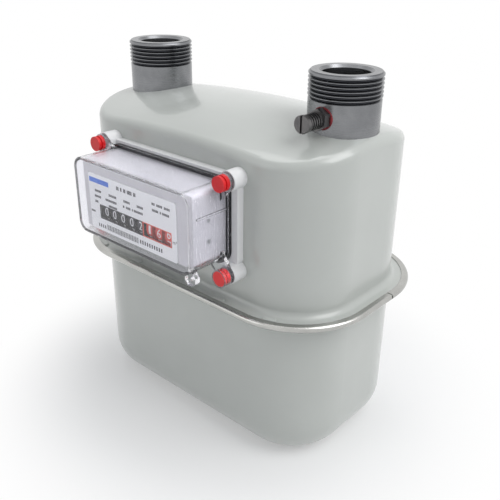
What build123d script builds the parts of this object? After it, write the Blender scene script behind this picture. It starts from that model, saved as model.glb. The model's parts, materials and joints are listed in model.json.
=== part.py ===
from build123d import *
import math
import os

# Domestic diaphragm gas meter with two top connections.
# Frame: X to the right, Y to the rear, Z up; the index looks along -Y.
# Origin: middle of the flat underside of the lower case.  Millimetres.

# ------------------------------------------------------------------ case
OVERALL_HEIGHT = 240.0
CASE_LENGTH = 202.0
CASE_DEPTH = 114.0
CASE_CORNER = 40.0
SHEET = 1.0
CASE_TOP_Z = 212.5            # crown of the upper case, in its middle
TOP_SPAN_RADIUS = 800.0       # crown along X
TOP_DEPTH_RADIUS = 140.0      # crown along Y
TOP_EDGE_RADIUS = 6.0
BOTTOM_EDGE_RADIUS = 25.0

# ------------------------------------------------------------------ seam
SEAM_Z = 106.0
GASKET_THICKNESS = 0.6
FLANGE_REACH = 11.0           # from the case wall to the flange edge
FLANGE_BEND = 4.0             # root fillet between wall and flange
BAND_GAUGE = 0.6
BAND_LIP = 3.4                # how far the band wraps over the flanges
BAND_CLEARANCE = 0.3
BAND_GAP = 1.2
BAND_GAP_Y = 12.5
PIP_LENGTH = 9.0
PIP_WIDTH = 3.6
PIP_HEIGHT = 1.0
PIP_SPACING = 38.0

# ----------------------------------------------------------- connections
CONNECTION_SPACING = 152.4
THREAD_RADIUS = 20.955        # G 1 1/4, male
THREAD_PITCH = 2.309
THREAD_DEPTH = 1.479
THREAD_TURNS = 6
THREAD_LEAD = 0.8             # plain length above the first turn
THREAD_CREST = 0.385
THREAD_END_CHAMFER = 1.2
CONNECTION_RADIUS = 20.7
CONNECTION_BORE = 13.75
BORE_CHAMFER = 1.6
CONNECTION_DEPTH = 15.5       # from the crown of the case down to the foot
FIT_CLEARANCE = 0.05

# ------------------------------------------------------------ test point
NIPPLE_Z = 216.5
NIPPLE_SPOT_DEPTH = 1.1       # spot face on the outlet connection
NIPPLE_WASHER = 1.2
NIPPLE_WASHER_RADIUS = 6.4
NIPPLE_HEX_FLATS = 11.0
NIPPLE_HEX_LENGTH = 5.0
NIPPLE_STEM_RADIUS = 4.7
NIPPLE_STEM_LENGTH = 9.5
NIPPLE_BORE = 2.7
NIPPLE_ROOT_RADIUS = 4.0      # the part screwed into the connection
STEM_GROOVES = 4
TEST_SEAL_THICKNESS = 0.8
TEST_SCREW_HEAD = 5.0
TEST_SCREW_HEAD_LENGTH = 3.0
TEST_SCREW_SHANK = 2.6
TEST_SCREW_LENGTH = 9.0
SCREW_SLOT = 1.3

# ----------------------------------------------------------------- index
INDEX_X = -4.0
INDEX_Z = 159.8
COVER_WIDTH = 100.4
COVER_HEIGHT = 48.8
COVER_CORNER = 7.0
COVER_WALL = 2.0
COVER_DEPTH = 30.9
COVER_EDGE = 1.6              # eased edge round the front face
COVER_FLANGE = 1.8            # how far the flange stands out
COVER_FLANGE_THICKNESS = 2.4
BASE_WIDTH = 113.0
BASE_HEIGHT = 56.0
BASE_CORNER = 6.0
BASE_THICKNESS = 5.0
BASE_FLOOR = 1.5
GASKET_HEIGHT = 0.6           # index gasket above the base rim
GASKET_WIDTH = 3.0
PLUG_DX = 53.4
PLUG_DZ = 28.3
PLUG_DROP = 2.0               # the four plugs sit this far below the middle of the cover
LUG_RADIUS = 5.8
LUG_PROUD = 4.3               # lug faces in front of the gasket
LUG_CLEARANCE = 0.1
SLEEVE_RADIUS = 5.4
SLEEVE_BORE = 4.7
SLEEVE_LENGTH = 7.3
SLEEVE_FLOOR = 1.6
PLUG_RADIUS = 4.6
PLUG_LENGTH = 5.0
PLUG_RECESS = 0.1
PLUG_DISC = 1.6               # front disc, ahead of the groove
PLUG_GROOVE = 1.1
PLUG_GROOVE_DEPTH = 0.7
PLUG_WALL = 1.0
PLUG_SHOULDER = 0.4            # behind the groove, ahead of the wide end of the cup
COVER_SCREW_RADIUS = 1.75
COVER_SCREW_HEAD = 3.4
COVER_SCREW_HEAD_LENGTH = 2.4
COVER_SCREW_DEPTH = 4.0
SEAL_EYE_RADIUS = 4.0
SEAL_EYE_HOLE = 1.4
SEAL_EYE_THICKNESS = 4.0
SEAL_EYE_INSET = 2.0          # from the side and the front of the cover
SEAL_EYE_OVERLAP = 2.6        # of its ring with the cover
RIB_RISE = 9.0                # side rib above the middle of the cover
RIB_START = 6.0               # behind the front of the cover
RIB_WIDTH = 1.2
RIB_PROUD = 0.9
HOUSING_GAP = 1.4             # between the housing and the cover wall
HOUSING_WALL = 1.5
DIAL_BEHIND_COVER = 5.3       # from the cover's front to the dial's face
DIAL_THICKNESS = 1.0
DIAL_SHIFT = -3.0             # middle of the dial, from the middle of the index
DIAL_WIDTH = 78.0
DIAL_DROP = 21.2              # lower edge of the dial below the middle of the index
DIAL_HEIGHT = 36.0
WINDOW_SHIFT = -0.7
WINDOW_HEIGHT = 9.2

# ----------------------------------------------------------- number drums
DRUMS = 8
DRUM_PITCH = 8.0
DRUM_RADIUS = 11.0
DRUM_WIDTH = 5.6
DRUM_FLOOR_GAP = 0.2          # from a drum to the floor of the housing
DRUM_BEHIND_DIAL = 0.6
DRUM_AXLE_RADIUS = 1.5
PINION_AXLE_RADIUS = 1.2
DRUM_GEAR_TEETH = 20
TRANSFER_TEETH = 8
AXLE_CLEARANCE = 0.4          # from a drum's rim to the upper axle
DRUM_GEAR_WIDTH = 1.0
LOCK_DISC_CLEARANCE = 0.525   # from a lock disc to the pinion's tips
LOCK_DISC_WIDTH = 1.0
TRANSFER_END_GAP = 0.2
INPUT_GEAR_TEETH = 25         # on the fastest drum
JACK_PINION_TEETH = 10
INPUT_GEAR_WIDTH = 1.8

# ----------------------------------------------------------- drive train
CONTRATE_TEETH = 32
INDEX_PINION_TEETH = 8
CONTRATE_MODULE = 0.6
CONTRATE_FACE = 2.0
CONTRATE_DISC = 1.4
DRIVE_X = 33.5
DRIVE_SHAFT_RADIUS = 2.0
BUSH_RADIUS = 5.5
BUSH_FLANGE_RADIUS = 7.2
BUSH_FLANGE = 2.0
TRAIN_MODULE = 1.0
DRIVE_GEAR_TEETH = 40
IDLER_TEETH = 30
LAY_PINION_TEETH = 10
CROWN_TEETH = 40
TRAIN_SET_BACK = 9.0          # front faces of the train gears, from the case wall
TRAIN_WIDTH = 4.0
CROWN_FACE = 3.2
TOOTH_FRACTION = 0.33         # tooth width over pitch, on the pitch line
ADDENDUM = 0.75
DEDENDUM = 0.95
TIP_FRACTION = 0.45           # tip width over pitch-line width
BRACKET_SHEET = 1.5
BRACKET_SET_BACK = 4.5        # front cheek, from the case wall
BRACKET_SPAN = 12.5           # from cheek to cheek
BRACKET_FOOT_LEFT = -8.0
BRACKET_FOOT_RIGHT = 24.0
BRACKET_FOOT_DEPTH = 6.0
IDLER_AXLE_RADIUS = 1.5

# -------------------------------------------------------- measuring unit
UNIT_LENGTH = 152.0
UNIT_HEIGHT = 96.0
UNIT_BOTTOM_Z = 8.0
BODY_HALF_DEPTH = 20.0
PARTITION = 2.0
POCKET_LENGTH = 138.0
POCKET_HEIGHT = 82.0
POCKET_CORNER = 20.0
MEMBRANE = 0.6
MEMBRANE_LIP = 0.6            # free gap between the ring and the pocket wall
COVER_PAN_DEPTH = 19.5
COVER_PAN_WALL = 1.6
COVER_PAN_FLANGE = 2.0
PLATE_LENGTH = 110.0
PLATE_HEIGHT = 54.0
PLATE_CORNER = 16.0
PLATE_THICKNESS = 1.6
PLATE_CLEARANCE = 0.5
UNIT_SCREW_RADIUS = 1.9
UNIT_SCREW_HEAD = 3.6
UNIT_SCREW_HEAD_LENGTH = 2.2
UNIT_SCREW_LENGTH = 9.0
FOOT_RADIUS = 6.0
FOOT_DX = 50.0
FOOT_DY = 13.0

# --------------------------------------------------------------- linkage
ROD_X = -62.0
ROD_Y = 5.0
ROD_RADIUS = 2.0
FLAG_LENGTH = 60.0
FLAG_PIN_RADIUS = 1.2
FLAG_PIN_OFFSET = 2.7         # from the plate's middle plane
FLAG_ARM_HEIGHT = 4.0
FLAG_THICKNESS = 1.6
FLAG_SPREAD = 20.0
FORK_CLEARANCE = 0.35
FORK_THICKNESS = 2.5
FORK_SLOT = 9.0
CRANK_RADIUS = 9.0
CRANK_PIN_RADIUS = 2.5
ARM_LENGTH = 42.0
ARM_MID_DEG = -46.0
ARM_WIDTH = 5.0
ARM_THICKNESS = 2.0
LINK_THICKNESS = 1.7
LINK_WIDTH = 4.0
LINK_PIN_RADIUS = 1.5
OPEN_PIVOT_GAP = 0.3

# ------------------------------------------------------- valve and duct
SEAT_THICKNESS = 8.0
SEAT_LEFT = -44.0
SEAT_DEPTH = 52.0
SEAT_END_RADIUS = 18.0
PORT_INNER = 9.0
PORT_OUTER = 17.0
PORT_DEGREES = 56.0
PORT_COUNT = 4
EXHAUST_RADIUS = 5.0
CHANNEL_WIDTH = 14.0
CHANNEL_HEIGHT = 5.0
SPINDLE_RADIUS = 2.0
VALVE_RADIUS = 20.0
VALVE_THICKNESS = 5.0
CRANK_DISC = 14.6
CRANK_DISC_THICKNESS = 2.4
CROWN_DISC_THICKNESS = 1.8
DUCT_RADIUS = 15.0
DUCT_WALL = 1.5
DUCT_SEAL = 2.0
DUCT_SOCKET = 14.25           # counterbore in the foot of the outlet connection
DUCT_SOCKET_DEPTH = 8.0
DUCT_ENTRY = 6.0              # how far the duct reaches into the connection

# ------------------------------------------------------- derived places
CONNECTION_X = CONNECTION_SPACING / 2
CONNECTION_FOOT_Z = CASE_TOP_Z - CONNECTION_DEPTH
NIPPLE_SEAT_Y = NIPPLE_SPOT_DEPTH - CONNECTION_RADIUS
WALL_Y = -CASE_DEPTH / 2
FLANGE_TOP_Z = SEAM_Z + GASKET_THICKNESS / 2 + SHEET
FLANGE_LENGTH = CASE_LENGTH + 2 * FLANGE_REACH
FLANGE_DEPTH = CASE_DEPTH + 2 * FLANGE_REACH
FLANGE_CORNER = CASE_CORNER + FLANGE_REACH
THREAD_LENGTH = THREAD_TURNS * THREAD_PITCH
THREAD_END_Z = OVERALL_HEIGHT - THREAD_LEAD - THREAD_LENGTH
BASE_FRONT_Y = WALL_Y - BASE_THICKNESS
COVER_BACK_Y = BASE_FRONT_Y - GASKET_HEIGHT
COVER_FRONT_Y = COVER_BACK_Y - COVER_DEPTH
LUG_FRONT_Y = COVER_BACK_Y - LUG_PROUD
SLEEVE_FRONT_Y = LUG_FRONT_Y - SLEEVE_LENGTH
HOUSING_WIDTH = COVER_WIDTH - 2 * COVER_WALL - 2 * HOUSING_GAP
HOUSING_HEIGHT = COVER_HEIGHT - 2 * COVER_WALL - 2 * HOUSING_GAP
DIAL_X = INDEX_X + DIAL_SHIFT
DIAL_Y = COVER_FRONT_Y + DIAL_BEHIND_COVER
DIAL_BOTTOM_Z = INDEX_Z - DIAL_DROP
DIAL_TOP_Z = DIAL_BOTTOM_Z + DIAL_HEIGHT
WINDOW_X = INDEX_X + WINDOW_SHIFT
HOUSING_FRONT_Y = DIAL_Y + DIAL_THICKNESS
TRAIN_Y = WALL_Y + TRAIN_SET_BACK
BRACKET_FRONT_Y = WALL_Y + BRACKET_SET_BACK
BRACKET_REAR_Y = BRACKET_FRONT_Y + BRACKET_SPAN
DRUM_Y = DIAL_Y + DIAL_THICKNESS + DRUM_BEHIND_DIAL + DRUM_RADIUS
DRUM_Z = INDEX_Z - HOUSING_HEIGHT / 2 + HOUSING_WALL + DRUM_FLOOR_GAP + DRUM_RADIUS
PINION_DISTANCE = DRUM_RADIUS + AXLE_CLEARANCE + PINION_AXLE_RADIUS
TRANSFER_MODULE = 2 * PINION_DISTANCE / (DRUM_GEAR_TEETH + TRANSFER_TEETH)
TRANSFER_TIP_RADIUS = TRANSFER_MODULE * (TRANSFER_TEETH / 2 + ADDENDUM)
LOCK_DISC_RADIUS = PINION_DISTANCE - TRANSFER_TIP_RADIUS - LOCK_DISC_CLEARANCE
PINION_AXLE_Z = DRUM_Z + PINION_DISTANCE
INPUT_MODULE = 2 * PINION_DISTANCE / (INPUT_GEAR_TEETH + JACK_PINION_TEETH)
FIRST_DRUM_X = WINDOW_X + DRUM_PITCH * (DRUMS - 1) / 2
UNIT_TOP_Z = UNIT_BOTTOM_Z + UNIT_HEIGHT
UNIT_MID_Z = UNIT_BOTTOM_Z + UNIT_HEIGHT / 2
SEAT_TOP_Z = UNIT_TOP_Z + SEAT_THICKNESS
VALVE_TOP_Z = SEAT_TOP_Z + VALVE_THICKNESS
CROWN_ROOT_Z = VALVE_TOP_Z + CROWN_DISC_THICKNESS
CROWN_PITCH_Z = CROWN_ROOT_Z + DEDENDUM * TRAIN_MODULE
CROWN_PITCH_RADIUS = CROWN_TEETH * TRAIN_MODULE / 2
LAYSHAFT_Z = CROWN_PITCH_Z + LAY_PINION_TEETH * TRAIN_MODULE / 2
LINK_Z = LAYSHAFT_Z - 0.4
CRANK_PIN_TOP = LINK_Z - OPEN_PIVOT_GAP
MEMBRANE_Y = BODY_HALF_DEPTH + MEMBRANE / 2

# Crank pin nearest the flag rods: both flags then stand this far past mid-stroke.
LINK_DIRECTION = math.atan2(
    ROD_Y - ARM_LENGTH * math.sin(math.radians(ARM_MID_DEG)),
    -ROD_X - ARM_LENGTH * math.cos(math.radians(ARM_MID_DEG)),
)
REST_SWING = math.degrees(math.asin(CRANK_RADIUS * math.cos(LINK_DIRECTION) / ARM_LENGTH))
FLAG_MID_DEG = -math.degrees(math.asin((MEMBRANE_Y - FLAG_PIN_OFFSET - ROD_Y) / FLAG_LENGTH))
FLAG_REST_DEG = FLAG_MID_DEG - REST_SWING
ARM_REST_DEG = ARM_MID_DEG - REST_SWING
PLATE_Y = (ROD_Y - FLAG_LENGTH * math.sin(math.radians(FLAG_REST_DEG))) + FLAG_PIN_OFFSET


# ------------------------------------------------------------- helpers
def slab(length, depth, corner, z0, z1):
    """Upright prism with a rounded rectangular plan, between two heights."""
    plan = RectangleRounded(length, depth, corner)
    return Pos(0, 0, z0) * extrude(plan, z1 - z0)


def rod(radius, start, end):
    """Cylinder between two points that differ along one axis."""
    a, b = Vector(*start), Vector(*end)
    return extrude(Plane(origin=a, z_dir=b - a) * Circle(radius), (b - a).length)


def front_slab(x, z, width, height, corner, y_front, y_back):
    """Prism with a rounded rectangular outline seen from the front."""
    plane = Plane(origin=(x, y_back, z), x_dir=(1, 0, 0), z_dir=(0, -1, 0))
    return extrude(plane * RectangleRounded(width, height, corner), y_back - y_front)


def block(x0, x1, y0, y1, z0, z1):
    """Axis-aligned box between two corners."""
    middle = Pos((x0 + x1) / 2, (y0 + y1) / 2, (z0 + z1) / 2)
    return middle * Box(x1 - x0, y1 - y0, z1 - z0)


def tooth_gear(teeth, module, phase_deg):
    """Outline of a spur gear with straight-flanked teeth, one centred on the phase."""
    pitch = 360 / teeth
    radius = module * teeth / 2
    tip = radius + ADDENDUM * module
    root = radius - DEDENDUM * module
    half = pitch * TOOTH_FRACTION / 2
    tip_half = half * TIP_FRACTION
    root_half = half * (1 + (1 - TIP_FRACTION) * DEDENDUM / ADDENDUM)
    points = []
    for tooth in range(teeth):
        centre = phase_deg + tooth * pitch
        for r, offset in ((root, -root_half), (tip, -tip_half), (tip, tip_half), (root, root_half)):
            angle = math.radians(centre + offset)
            points.append((r * math.cos(angle), r * math.sin(angle)))
    return make_face(Polyline(*points, close=True))


def meshed_phase(teeth, phase_deg, direction_deg, mate_teeth):
    """Tooth angle of a gear in mesh with another that lies in the given direction."""
    pitch = 360 / teeth
    offset = (phase_deg - direction_deg + pitch / 2) % pitch - pitch / 2
    gap = direction_deg + 180 - offset * teeth / mate_teeth
    return gap + 180 / mate_teeth


def gear_y(teeth, module, phase_deg, x, z, y0, y1, bore):
    """Spur gear with its axis along Y; angles run from +X towards +Z."""
    plane = Plane(origin=(x, y1, z), x_dir=(1, 0, 0), z_dir=(0, -1, 0))
    face = tooth_gear(teeth, module, phase_deg) - Circle(bore)
    return extrude(plane * face, y1 - y0)


def gear_x(teeth, module, phase_deg, y, z, x0, x1, bore):
    """Spur gear with its axis along X; angles run from +Y towards +Z."""
    plane = Plane(origin=(x0, y, z), x_dir=(0, 1, 0), z_dir=(1, 0, 0))
    face = tooth_gear(teeth, module, phase_deg) - Circle(bore)
    return extrude(plane * face, x1 - x0)


def face_teeth(teeth, module, r0, r1, phase_deg):
    """Ring of radial face-gear teeth standing up from Z = 0, to fuse onto a disc."""
    pitch_width = math.pi * module * TOOTH_FRACTION
    root_width = pitch_width * (1 + (1 - TIP_FRACTION) * DEDENDUM / ADDENDUM)
    tip_width = pitch_width * TIP_FRACTION
    height = (ADDENDUM + DEDENDUM) * module
    outline = Polyline(
        (-root_width / 2, 0),
        (-tip_width / 2, height),
        (tip_width / 2, height),
        (root_width / 2, 0),
        close=True,
    )
    plane = Plane(origin=(r0, 0, 0), x_dir=(0, 1, 0), z_dir=(1, 0, 0))
    tooth = extrude(plane * make_face(outline), r1 - r0)
    tooth += extrude(plane * Pos(0, -0.2) * Rectangle(root_width, 0.4), r1 - r0)
    return [Rot(0, 0, phase_deg + k * 360 / teeth) * tooth for k in range(teeth)]


def save(shape, node):
    """Write one node as a STEP file."""
    export_step(shape, f"parts/{node}.step")


# ---------------------------------------------------------------- case
def domed_prism(inset):
    """Upper case volume above the seam, drawn in by the inset."""
    top = CASE_TOP_Z - inset
    length, depth = CASE_LENGTH - 2 * inset, CASE_DEPTH - 2 * inset
    prism = slab(length, depth, CASE_CORNER - inset, FLANGE_TOP_Z - SHEET, top + 1)
    span, across = TOP_SPAN_RADIUS - inset, TOP_DEPTH_RADIUS - inset
    reach = depth * 0.7
    edge_z = top - across + math.sqrt(across**2 - reach**2)
    floor_z = FLANGE_TOP_Z - 20
    arc = ThreePointArc((-reach, edge_z), (0, top), (reach, edge_z))
    sides = Polyline((reach, edge_z), (reach, floor_z), (-reach, floor_z), (-reach, edge_z))
    profile = Plane.YZ * make_face(Wire([arc, *sides.edges()]))
    axis = Axis((0, 0, top - span), (0, 1, 0))
    sweep_deg = 2 * math.degrees(math.asin((length / 2 + 15) / (span - 10)))
    dome = revolve(profile, axis, sweep_deg)
    dome = dome.rotate(axis, -sweep_deg / 2)
    body = prism & dome
    crown = body.faces().sort_by(Axis.Z)[-1]
    return fillet(crown.edges(), TOP_EDGE_RADIUS - inset)


def upper_case():
    shell = domed_prism(0)
    flange = slab(FLANGE_LENGTH, FLANGE_DEPTH, FLANGE_CORNER, FLANGE_TOP_Z - SHEET, FLANGE_TOP_Z)
    shell += flange
    shell = fillet(root_edges(shell, FLANGE_TOP_Z), FLANGE_BEND)
    for side in (-1, 1):
        for step in (1, 2):
            shell += flange_pip(side * step * PIP_SPACING)
    shell -= domed_prism(SHEET)
    for x in (-CONNECTION_X, CONNECTION_X):
        shell -= rod(CONNECTION_RADIUS + FIT_CLEARANCE, (x, 0, SEAM_Z), (x, 0, OVERALL_HEIGHT))
    bush_hole = BUSH_RADIUS + FIT_CLEARANCE
    shell -= rod(bush_hole, (DRIVE_X, WALL_Y - 5, PINION_AXLE_Z), (DRIVE_X, WALL_Y + 5, PINION_AXLE_Z))
    return shell


def root_edges(shell, z):
    """Edges where the case wall meets the flange face at the given height."""
    keep = []
    for edge in shell.edges():
        box = edge.bounding_box()
        level = abs(box.min.Z - z) < 0.01 and abs(box.max.Z - z) < 0.01
        if level and box.max.X < CASE_LENGTH / 2 + 0.1 and box.min.X > -CASE_LENGTH / 2 - 0.1:
            if box.max.Y < CASE_DEPTH / 2 + 0.1 and box.min.Y > -CASE_DEPTH / 2 - 0.1:
                keep.append(edge)
    return keep


def flange_pip(distance):
    """Small pressed pip on the front of the upper flange, the distance taken along its edge."""
    inset = BAND_LIP + PIP_WIDTH / 2 + BAND_CLEARANCE
    radius = FLANGE_CORNER - inset
    centre_x = math.copysign(FLANGE_LENGTH / 2 - FLANGE_CORNER, distance)
    centre_y = -(FLANGE_DEPTH / 2 - FLANGE_CORNER)
    past = abs(distance) - abs(centre_x)
    place = Pos(distance, centre_y - radius, 0)
    if past > 0:
        turn = math.copysign(math.degrees(past / radius), distance)
        place = Pos(centre_x, centre_y, 0) * Rot(0, 0, turn) * Pos(0, -radius, 0)
    outline = SlotOverall(PIP_LENGTH, PIP_WIDTH)
    pip = place * Pos(0, 0, FLANGE_TOP_Z - SHEET / 2) * extrude(outline, SHEET / 2 + PIP_HEIGHT)
    return fillet(pip.faces().sort_by(Axis.Z)[-1].edges(), PIP_HEIGHT * 0.6)


def lower_volume(inset):
    """Lower case volume below the seam, drawn in by the inset."""
    body = slab(
        CASE_LENGTH - 2 * inset,
        CASE_DEPTH - 2 * inset,
        CASE_CORNER - inset,
        inset,
        SEAM_Z - GASKET_THICKNESS / 2,
    )
    return fillet(body.faces().sort_by(Axis.Z)[0].edges(), BOTTOM_EDGE_RADIUS - inset)


def lower_case():
    top = SEAM_Z - GASKET_THICKNESS / 2
    shell = lower_volume(0)
    shell += slab(FLANGE_LENGTH, FLANGE_DEPTH, FLANGE_CORNER, top - SHEET, top)
    shell = fillet(root_edges(shell, top - SHEET), FLANGE_BEND)
    return shell - lower_volume(SHEET)


def case_gasket():
    z0, z1 = SEAM_Z - GASKET_THICKNESS / 2, SEAM_Z + GASKET_THICKNESS / 2
    ring = slab(FLANGE_LENGTH, FLANGE_DEPTH, FLANGE_CORNER, z0, z1)
    return ring - slab(CASE_LENGTH, CASE_DEPTH, CASE_CORNER, z0, z1)


def seam_band():
    """Rolled band: a C-shaped section that wraps both flanges, with its joint at one end."""
    stack = 2 * SHEET + GASKET_THICKNESS
    half = stack / 2 + BAND_GAUGE
    grow = BAND_CLEARANCE + BAND_GAUGE
    outer = slab(
        FLANGE_LENGTH + 2 * grow, FLANGE_DEPTH + 2 * grow, FLANGE_CORNER + grow, SEAM_Z - half, SEAM_Z + half
    )
    ends = outer.faces().sort_by(Axis.Z)
    outer = fillet(ends[0].edges() + ends[-1].edges(), half - 0.2)
    groove = slab(
        FLANGE_LENGTH + 2 * BAND_CLEARANCE,
        FLANGE_DEPTH + 2 * BAND_CLEARANCE,
        FLANGE_CORNER + BAND_CLEARANCE,
        SEAM_Z - stack / 2,
        SEAM_Z + stack / 2,
    )
    opening = slab(
        FLANGE_LENGTH - 2 * BAND_LIP,
        FLANGE_DEPTH - 2 * BAND_LIP,
        FLANGE_CORNER - BAND_LIP,
        SEAM_Z - half,
        SEAM_Z + half,
    )
    band = outer - groove - opening
    y0 = BAND_GAP_Y - BAND_GAP / 2
    return band - block(CASE_LENGTH / 2, FLANGE_LENGTH, y0, y0 + BAND_GAP, SEAM_Z - 5, SEAM_Z + 5)


# --------------------------------------------------------- connections
def connection(x):
    """Turned connection: plain below, male pipe thread above, bored through."""
    flank = (THREAD_PITCH - 2 * THREAD_CREST) / 2
    root = THREAD_RADIUS - THREAD_DEPTH
    outline = [(CONNECTION_BORE, CONNECTION_FOOT_Z), (CONNECTION_RADIUS, CONNECTION_FOOT_Z)]
    outline.append((CONNECTION_RADIUS, THREAD_END_Z - flank))
    for turn in range(THREAD_TURNS):
        low = THREAD_END_Z + turn * THREAD_PITCH
        outline.append((root, low))
        outline.append((root, low + THREAD_CREST))
        outline.append((THREAD_RADIUS, low + THREAD_CREST + flank))
        if turn < THREAD_TURNS - 1:
            outline.append((THREAD_RADIUS, low + 2 * THREAD_CREST + flank))
    outline.append((THREAD_RADIUS, OVERALL_HEIGHT - THREAD_END_CHAMFER))
    outline.append((THREAD_RADIUS - THREAD_END_CHAMFER, OVERALL_HEIGHT))
    outline.append((CONNECTION_BORE + BORE_CHAMFER, OVERALL_HEIGHT))
    outline.append((CONNECTION_BORE, OVERALL_HEIGHT - BORE_CHAMFER))
    profile = Plane.XZ * make_face(Polyline(*outline, close=True))
    return Pos(x, 0, 0) * revolve(profile, Axis.Z)


def outlet_connection():
    """Outlet: the same turning, with a spot face and a cross hole for the test nipple."""
    body = connection(CONNECTION_X)
    seat = Plane(origin=(CONNECTION_X, NIPPLE_SEAT_Y, NIPPLE_Z), z_dir=(0, -1, 0))
    body -= extrude(seat * Circle(NIPPLE_WASHER_RADIUS + FIT_CLEARANCE), 5)
    body -= extrude(seat * Circle(NIPPLE_ROOT_RADIUS + FIT_CLEARANCE), -10)
    socket_top = CONNECTION_FOOT_Z + DUCT_SOCKET_DEPTH
    foot = (CONNECTION_X, 0, CONNECTION_FOOT_Z)
    return body - rod(DUCT_SOCKET, foot, (CONNECTION_X, 0, socket_top))


# ---------------------------------------------------------- test point
def nipple_washer():
    plane = Plane(origin=(CONNECTION_X, NIPPLE_SEAT_Y, NIPPLE_Z), z_dir=(0, -1, 0))
    face = Circle(NIPPLE_WASHER_RADIUS) - Circle(NIPPLE_ROOT_RADIUS + FIT_CLEARANCE)
    return extrude(plane * face, NIPPLE_WASHER)


NIPPLE_HEX_Y = NIPPLE_SEAT_Y - NIPPLE_WASHER
NIPPLE_STEM_Y = NIPPLE_HEX_Y - NIPPLE_HEX_LENGTH
NIPPLE_END_Y = NIPPLE_STEM_Y - NIPPLE_STEM_LENGTH


def test_nipple():
    """Hexagon nipple with a grooved stem, screwed into the outlet connection."""
    hexagon = Plane(origin=(CONNECTION_X, NIPPLE_HEX_Y, NIPPLE_Z), z_dir=(0, -1, 0))
    hexagon = extrude(hexagon * RegularPolygon(NIPPLE_HEX_FLATS / math.sqrt(3), 6), NIPPLE_HEX_LENGTH)
    root_end = -(CONNECTION_BORE + 1.0)
    body = hexagon + rod(
        NIPPLE_ROOT_RADIUS, (CONNECTION_X, root_end, NIPPLE_Z), (CONNECTION_X, NIPPLE_HEX_Y, NIPPLE_Z)
    )
    body += rod(
        NIPPLE_STEM_RADIUS, (CONNECTION_X, NIPPLE_STEM_Y, NIPPLE_Z), (CONNECTION_X, NIPPLE_END_Y, NIPPLE_Z)
    )
    step = NIPPLE_STEM_LENGTH / (STEM_GROOVES + 1)
    for groove in range(1, STEM_GROOVES + 1):
        y = NIPPLE_STEM_Y - groove * step
        ring = Plane(origin=(CONNECTION_X, y, NIPPLE_Z), z_dir=(0, -1, 0))
        body -= extrude(ring * (Circle(NIPPLE_STEM_RADIUS + 1) - Circle(NIPPLE_STEM_RADIUS - 0.7)), 0.9)
    body -= rod(NIPPLE_BORE, (CONNECTION_X, 0, NIPPLE_Z), (CONNECTION_X, NIPPLE_END_Y - 1, NIPPLE_Z))
    return body


def test_screw_seal():
    plane = Plane(origin=(CONNECTION_X, NIPPLE_END_Y, NIPPLE_Z), z_dir=(0, -1, 0))
    face = Circle(NIPPLE_STEM_RADIUS - 0.4) - Circle(TEST_SCREW_SHANK + FIT_CLEARANCE)
    return extrude(plane * face, TEST_SEAL_THICKNESS)


def test_screw():
    """Slotted screw that closes the nipple."""
    head_y = NIPPLE_END_Y - TEST_SEAL_THICKNESS
    front_y = head_y - TEST_SCREW_HEAD_LENGTH
    head = rod(TEST_SCREW_HEAD, (CONNECTION_X, head_y, NIPPLE_Z), (CONNECTION_X, front_y, NIPPLE_Z))
    head = chamfer(head.faces().sort_by(Axis.Y)[0].edges(), 0.5)
    head -= block(
        CONNECTION_X - SCREW_SLOT / 2,
        CONNECTION_X + SCREW_SLOT / 2,
        front_y - 1,
        front_y + 1.2,
        NIPPLE_Z - 10,
        NIPPLE_Z + 10,
    )
    shank_end = head_y + TEST_SCREW_LENGTH
    return head + rod(TEST_SCREW_SHANK, (CONNECTION_X, head_y, NIPPLE_Z), (CONNECTION_X, shank_end, NIPPLE_Z))


# --------------------------------------------------------------- index
PLUG_PLACES = [
    (INDEX_X + sx * PLUG_DX, INDEX_Z - PLUG_DROP + sz * PLUG_DZ) for sx in (-1, 1) for sz in (-1, 1)
]


def index_base():
    """White frame on the case front: a floor, a rim and four corner lugs."""
    base = front_slab(INDEX_X, INDEX_Z, BASE_WIDTH, BASE_HEIGHT, BASE_CORNER, BASE_FRONT_Y, WALL_Y)
    inner_width = COVER_WIDTH - 2 * COVER_WALL
    inner_height = COVER_HEIGHT - 2 * COVER_WALL
    base -= front_slab(
        INDEX_X, INDEX_Z, inner_width, inner_height, COVER_CORNER - COVER_WALL, BASE_FRONT_Y, WALL_Y - BASE_FLOOR
    )
    for x, z in PLUG_PLACES:
        base += rod(LUG_RADIUS, (x, WALL_Y, z), (x, LUG_FRONT_Y, z))
    for x, z in PLUG_PLACES:
        screw_end = LUG_FRONT_Y + COVER_SCREW_DEPTH
        base -= rod(COVER_SCREW_RADIUS + FIT_CLEARANCE, (x, LUG_FRONT_Y, z), (x, screw_end, z))
    hole = BUSH_FLANGE_RADIUS + 0.3
    base -= rod(hole, (DRIVE_X, WALL_Y, PINION_AXLE_Z), (DRIVE_X, BASE_FRONT_Y, PINION_AXLE_Z))
    return base


def index_gasket():
    """Flat black seal between the frame and the clear cover."""
    width = COVER_WIDTH + 2 * COVER_FLANGE
    height = COVER_HEIGHT + 2 * COVER_FLANGE
    corner = COVER_CORNER + COVER_FLANGE
    strip = front_slab(INDEX_X, INDEX_Z, width, height, corner, COVER_BACK_Y, BASE_FRONT_Y)
    strip -= front_slab(
        INDEX_X,
        INDEX_Z,
        width - 2 * GASKET_WIDTH,
        height - 2 * GASKET_WIDTH,
        corner - GASKET_WIDTH,
        COVER_BACK_Y,
        BASE_FRONT_Y,
    )
    for x, z in PLUG_PLACES:
        strip -= rod(LUG_RADIUS + LUG_CLEARANCE, (x, BASE_FRONT_Y, z), (x, COVER_BACK_Y, z))
    return strip


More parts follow.
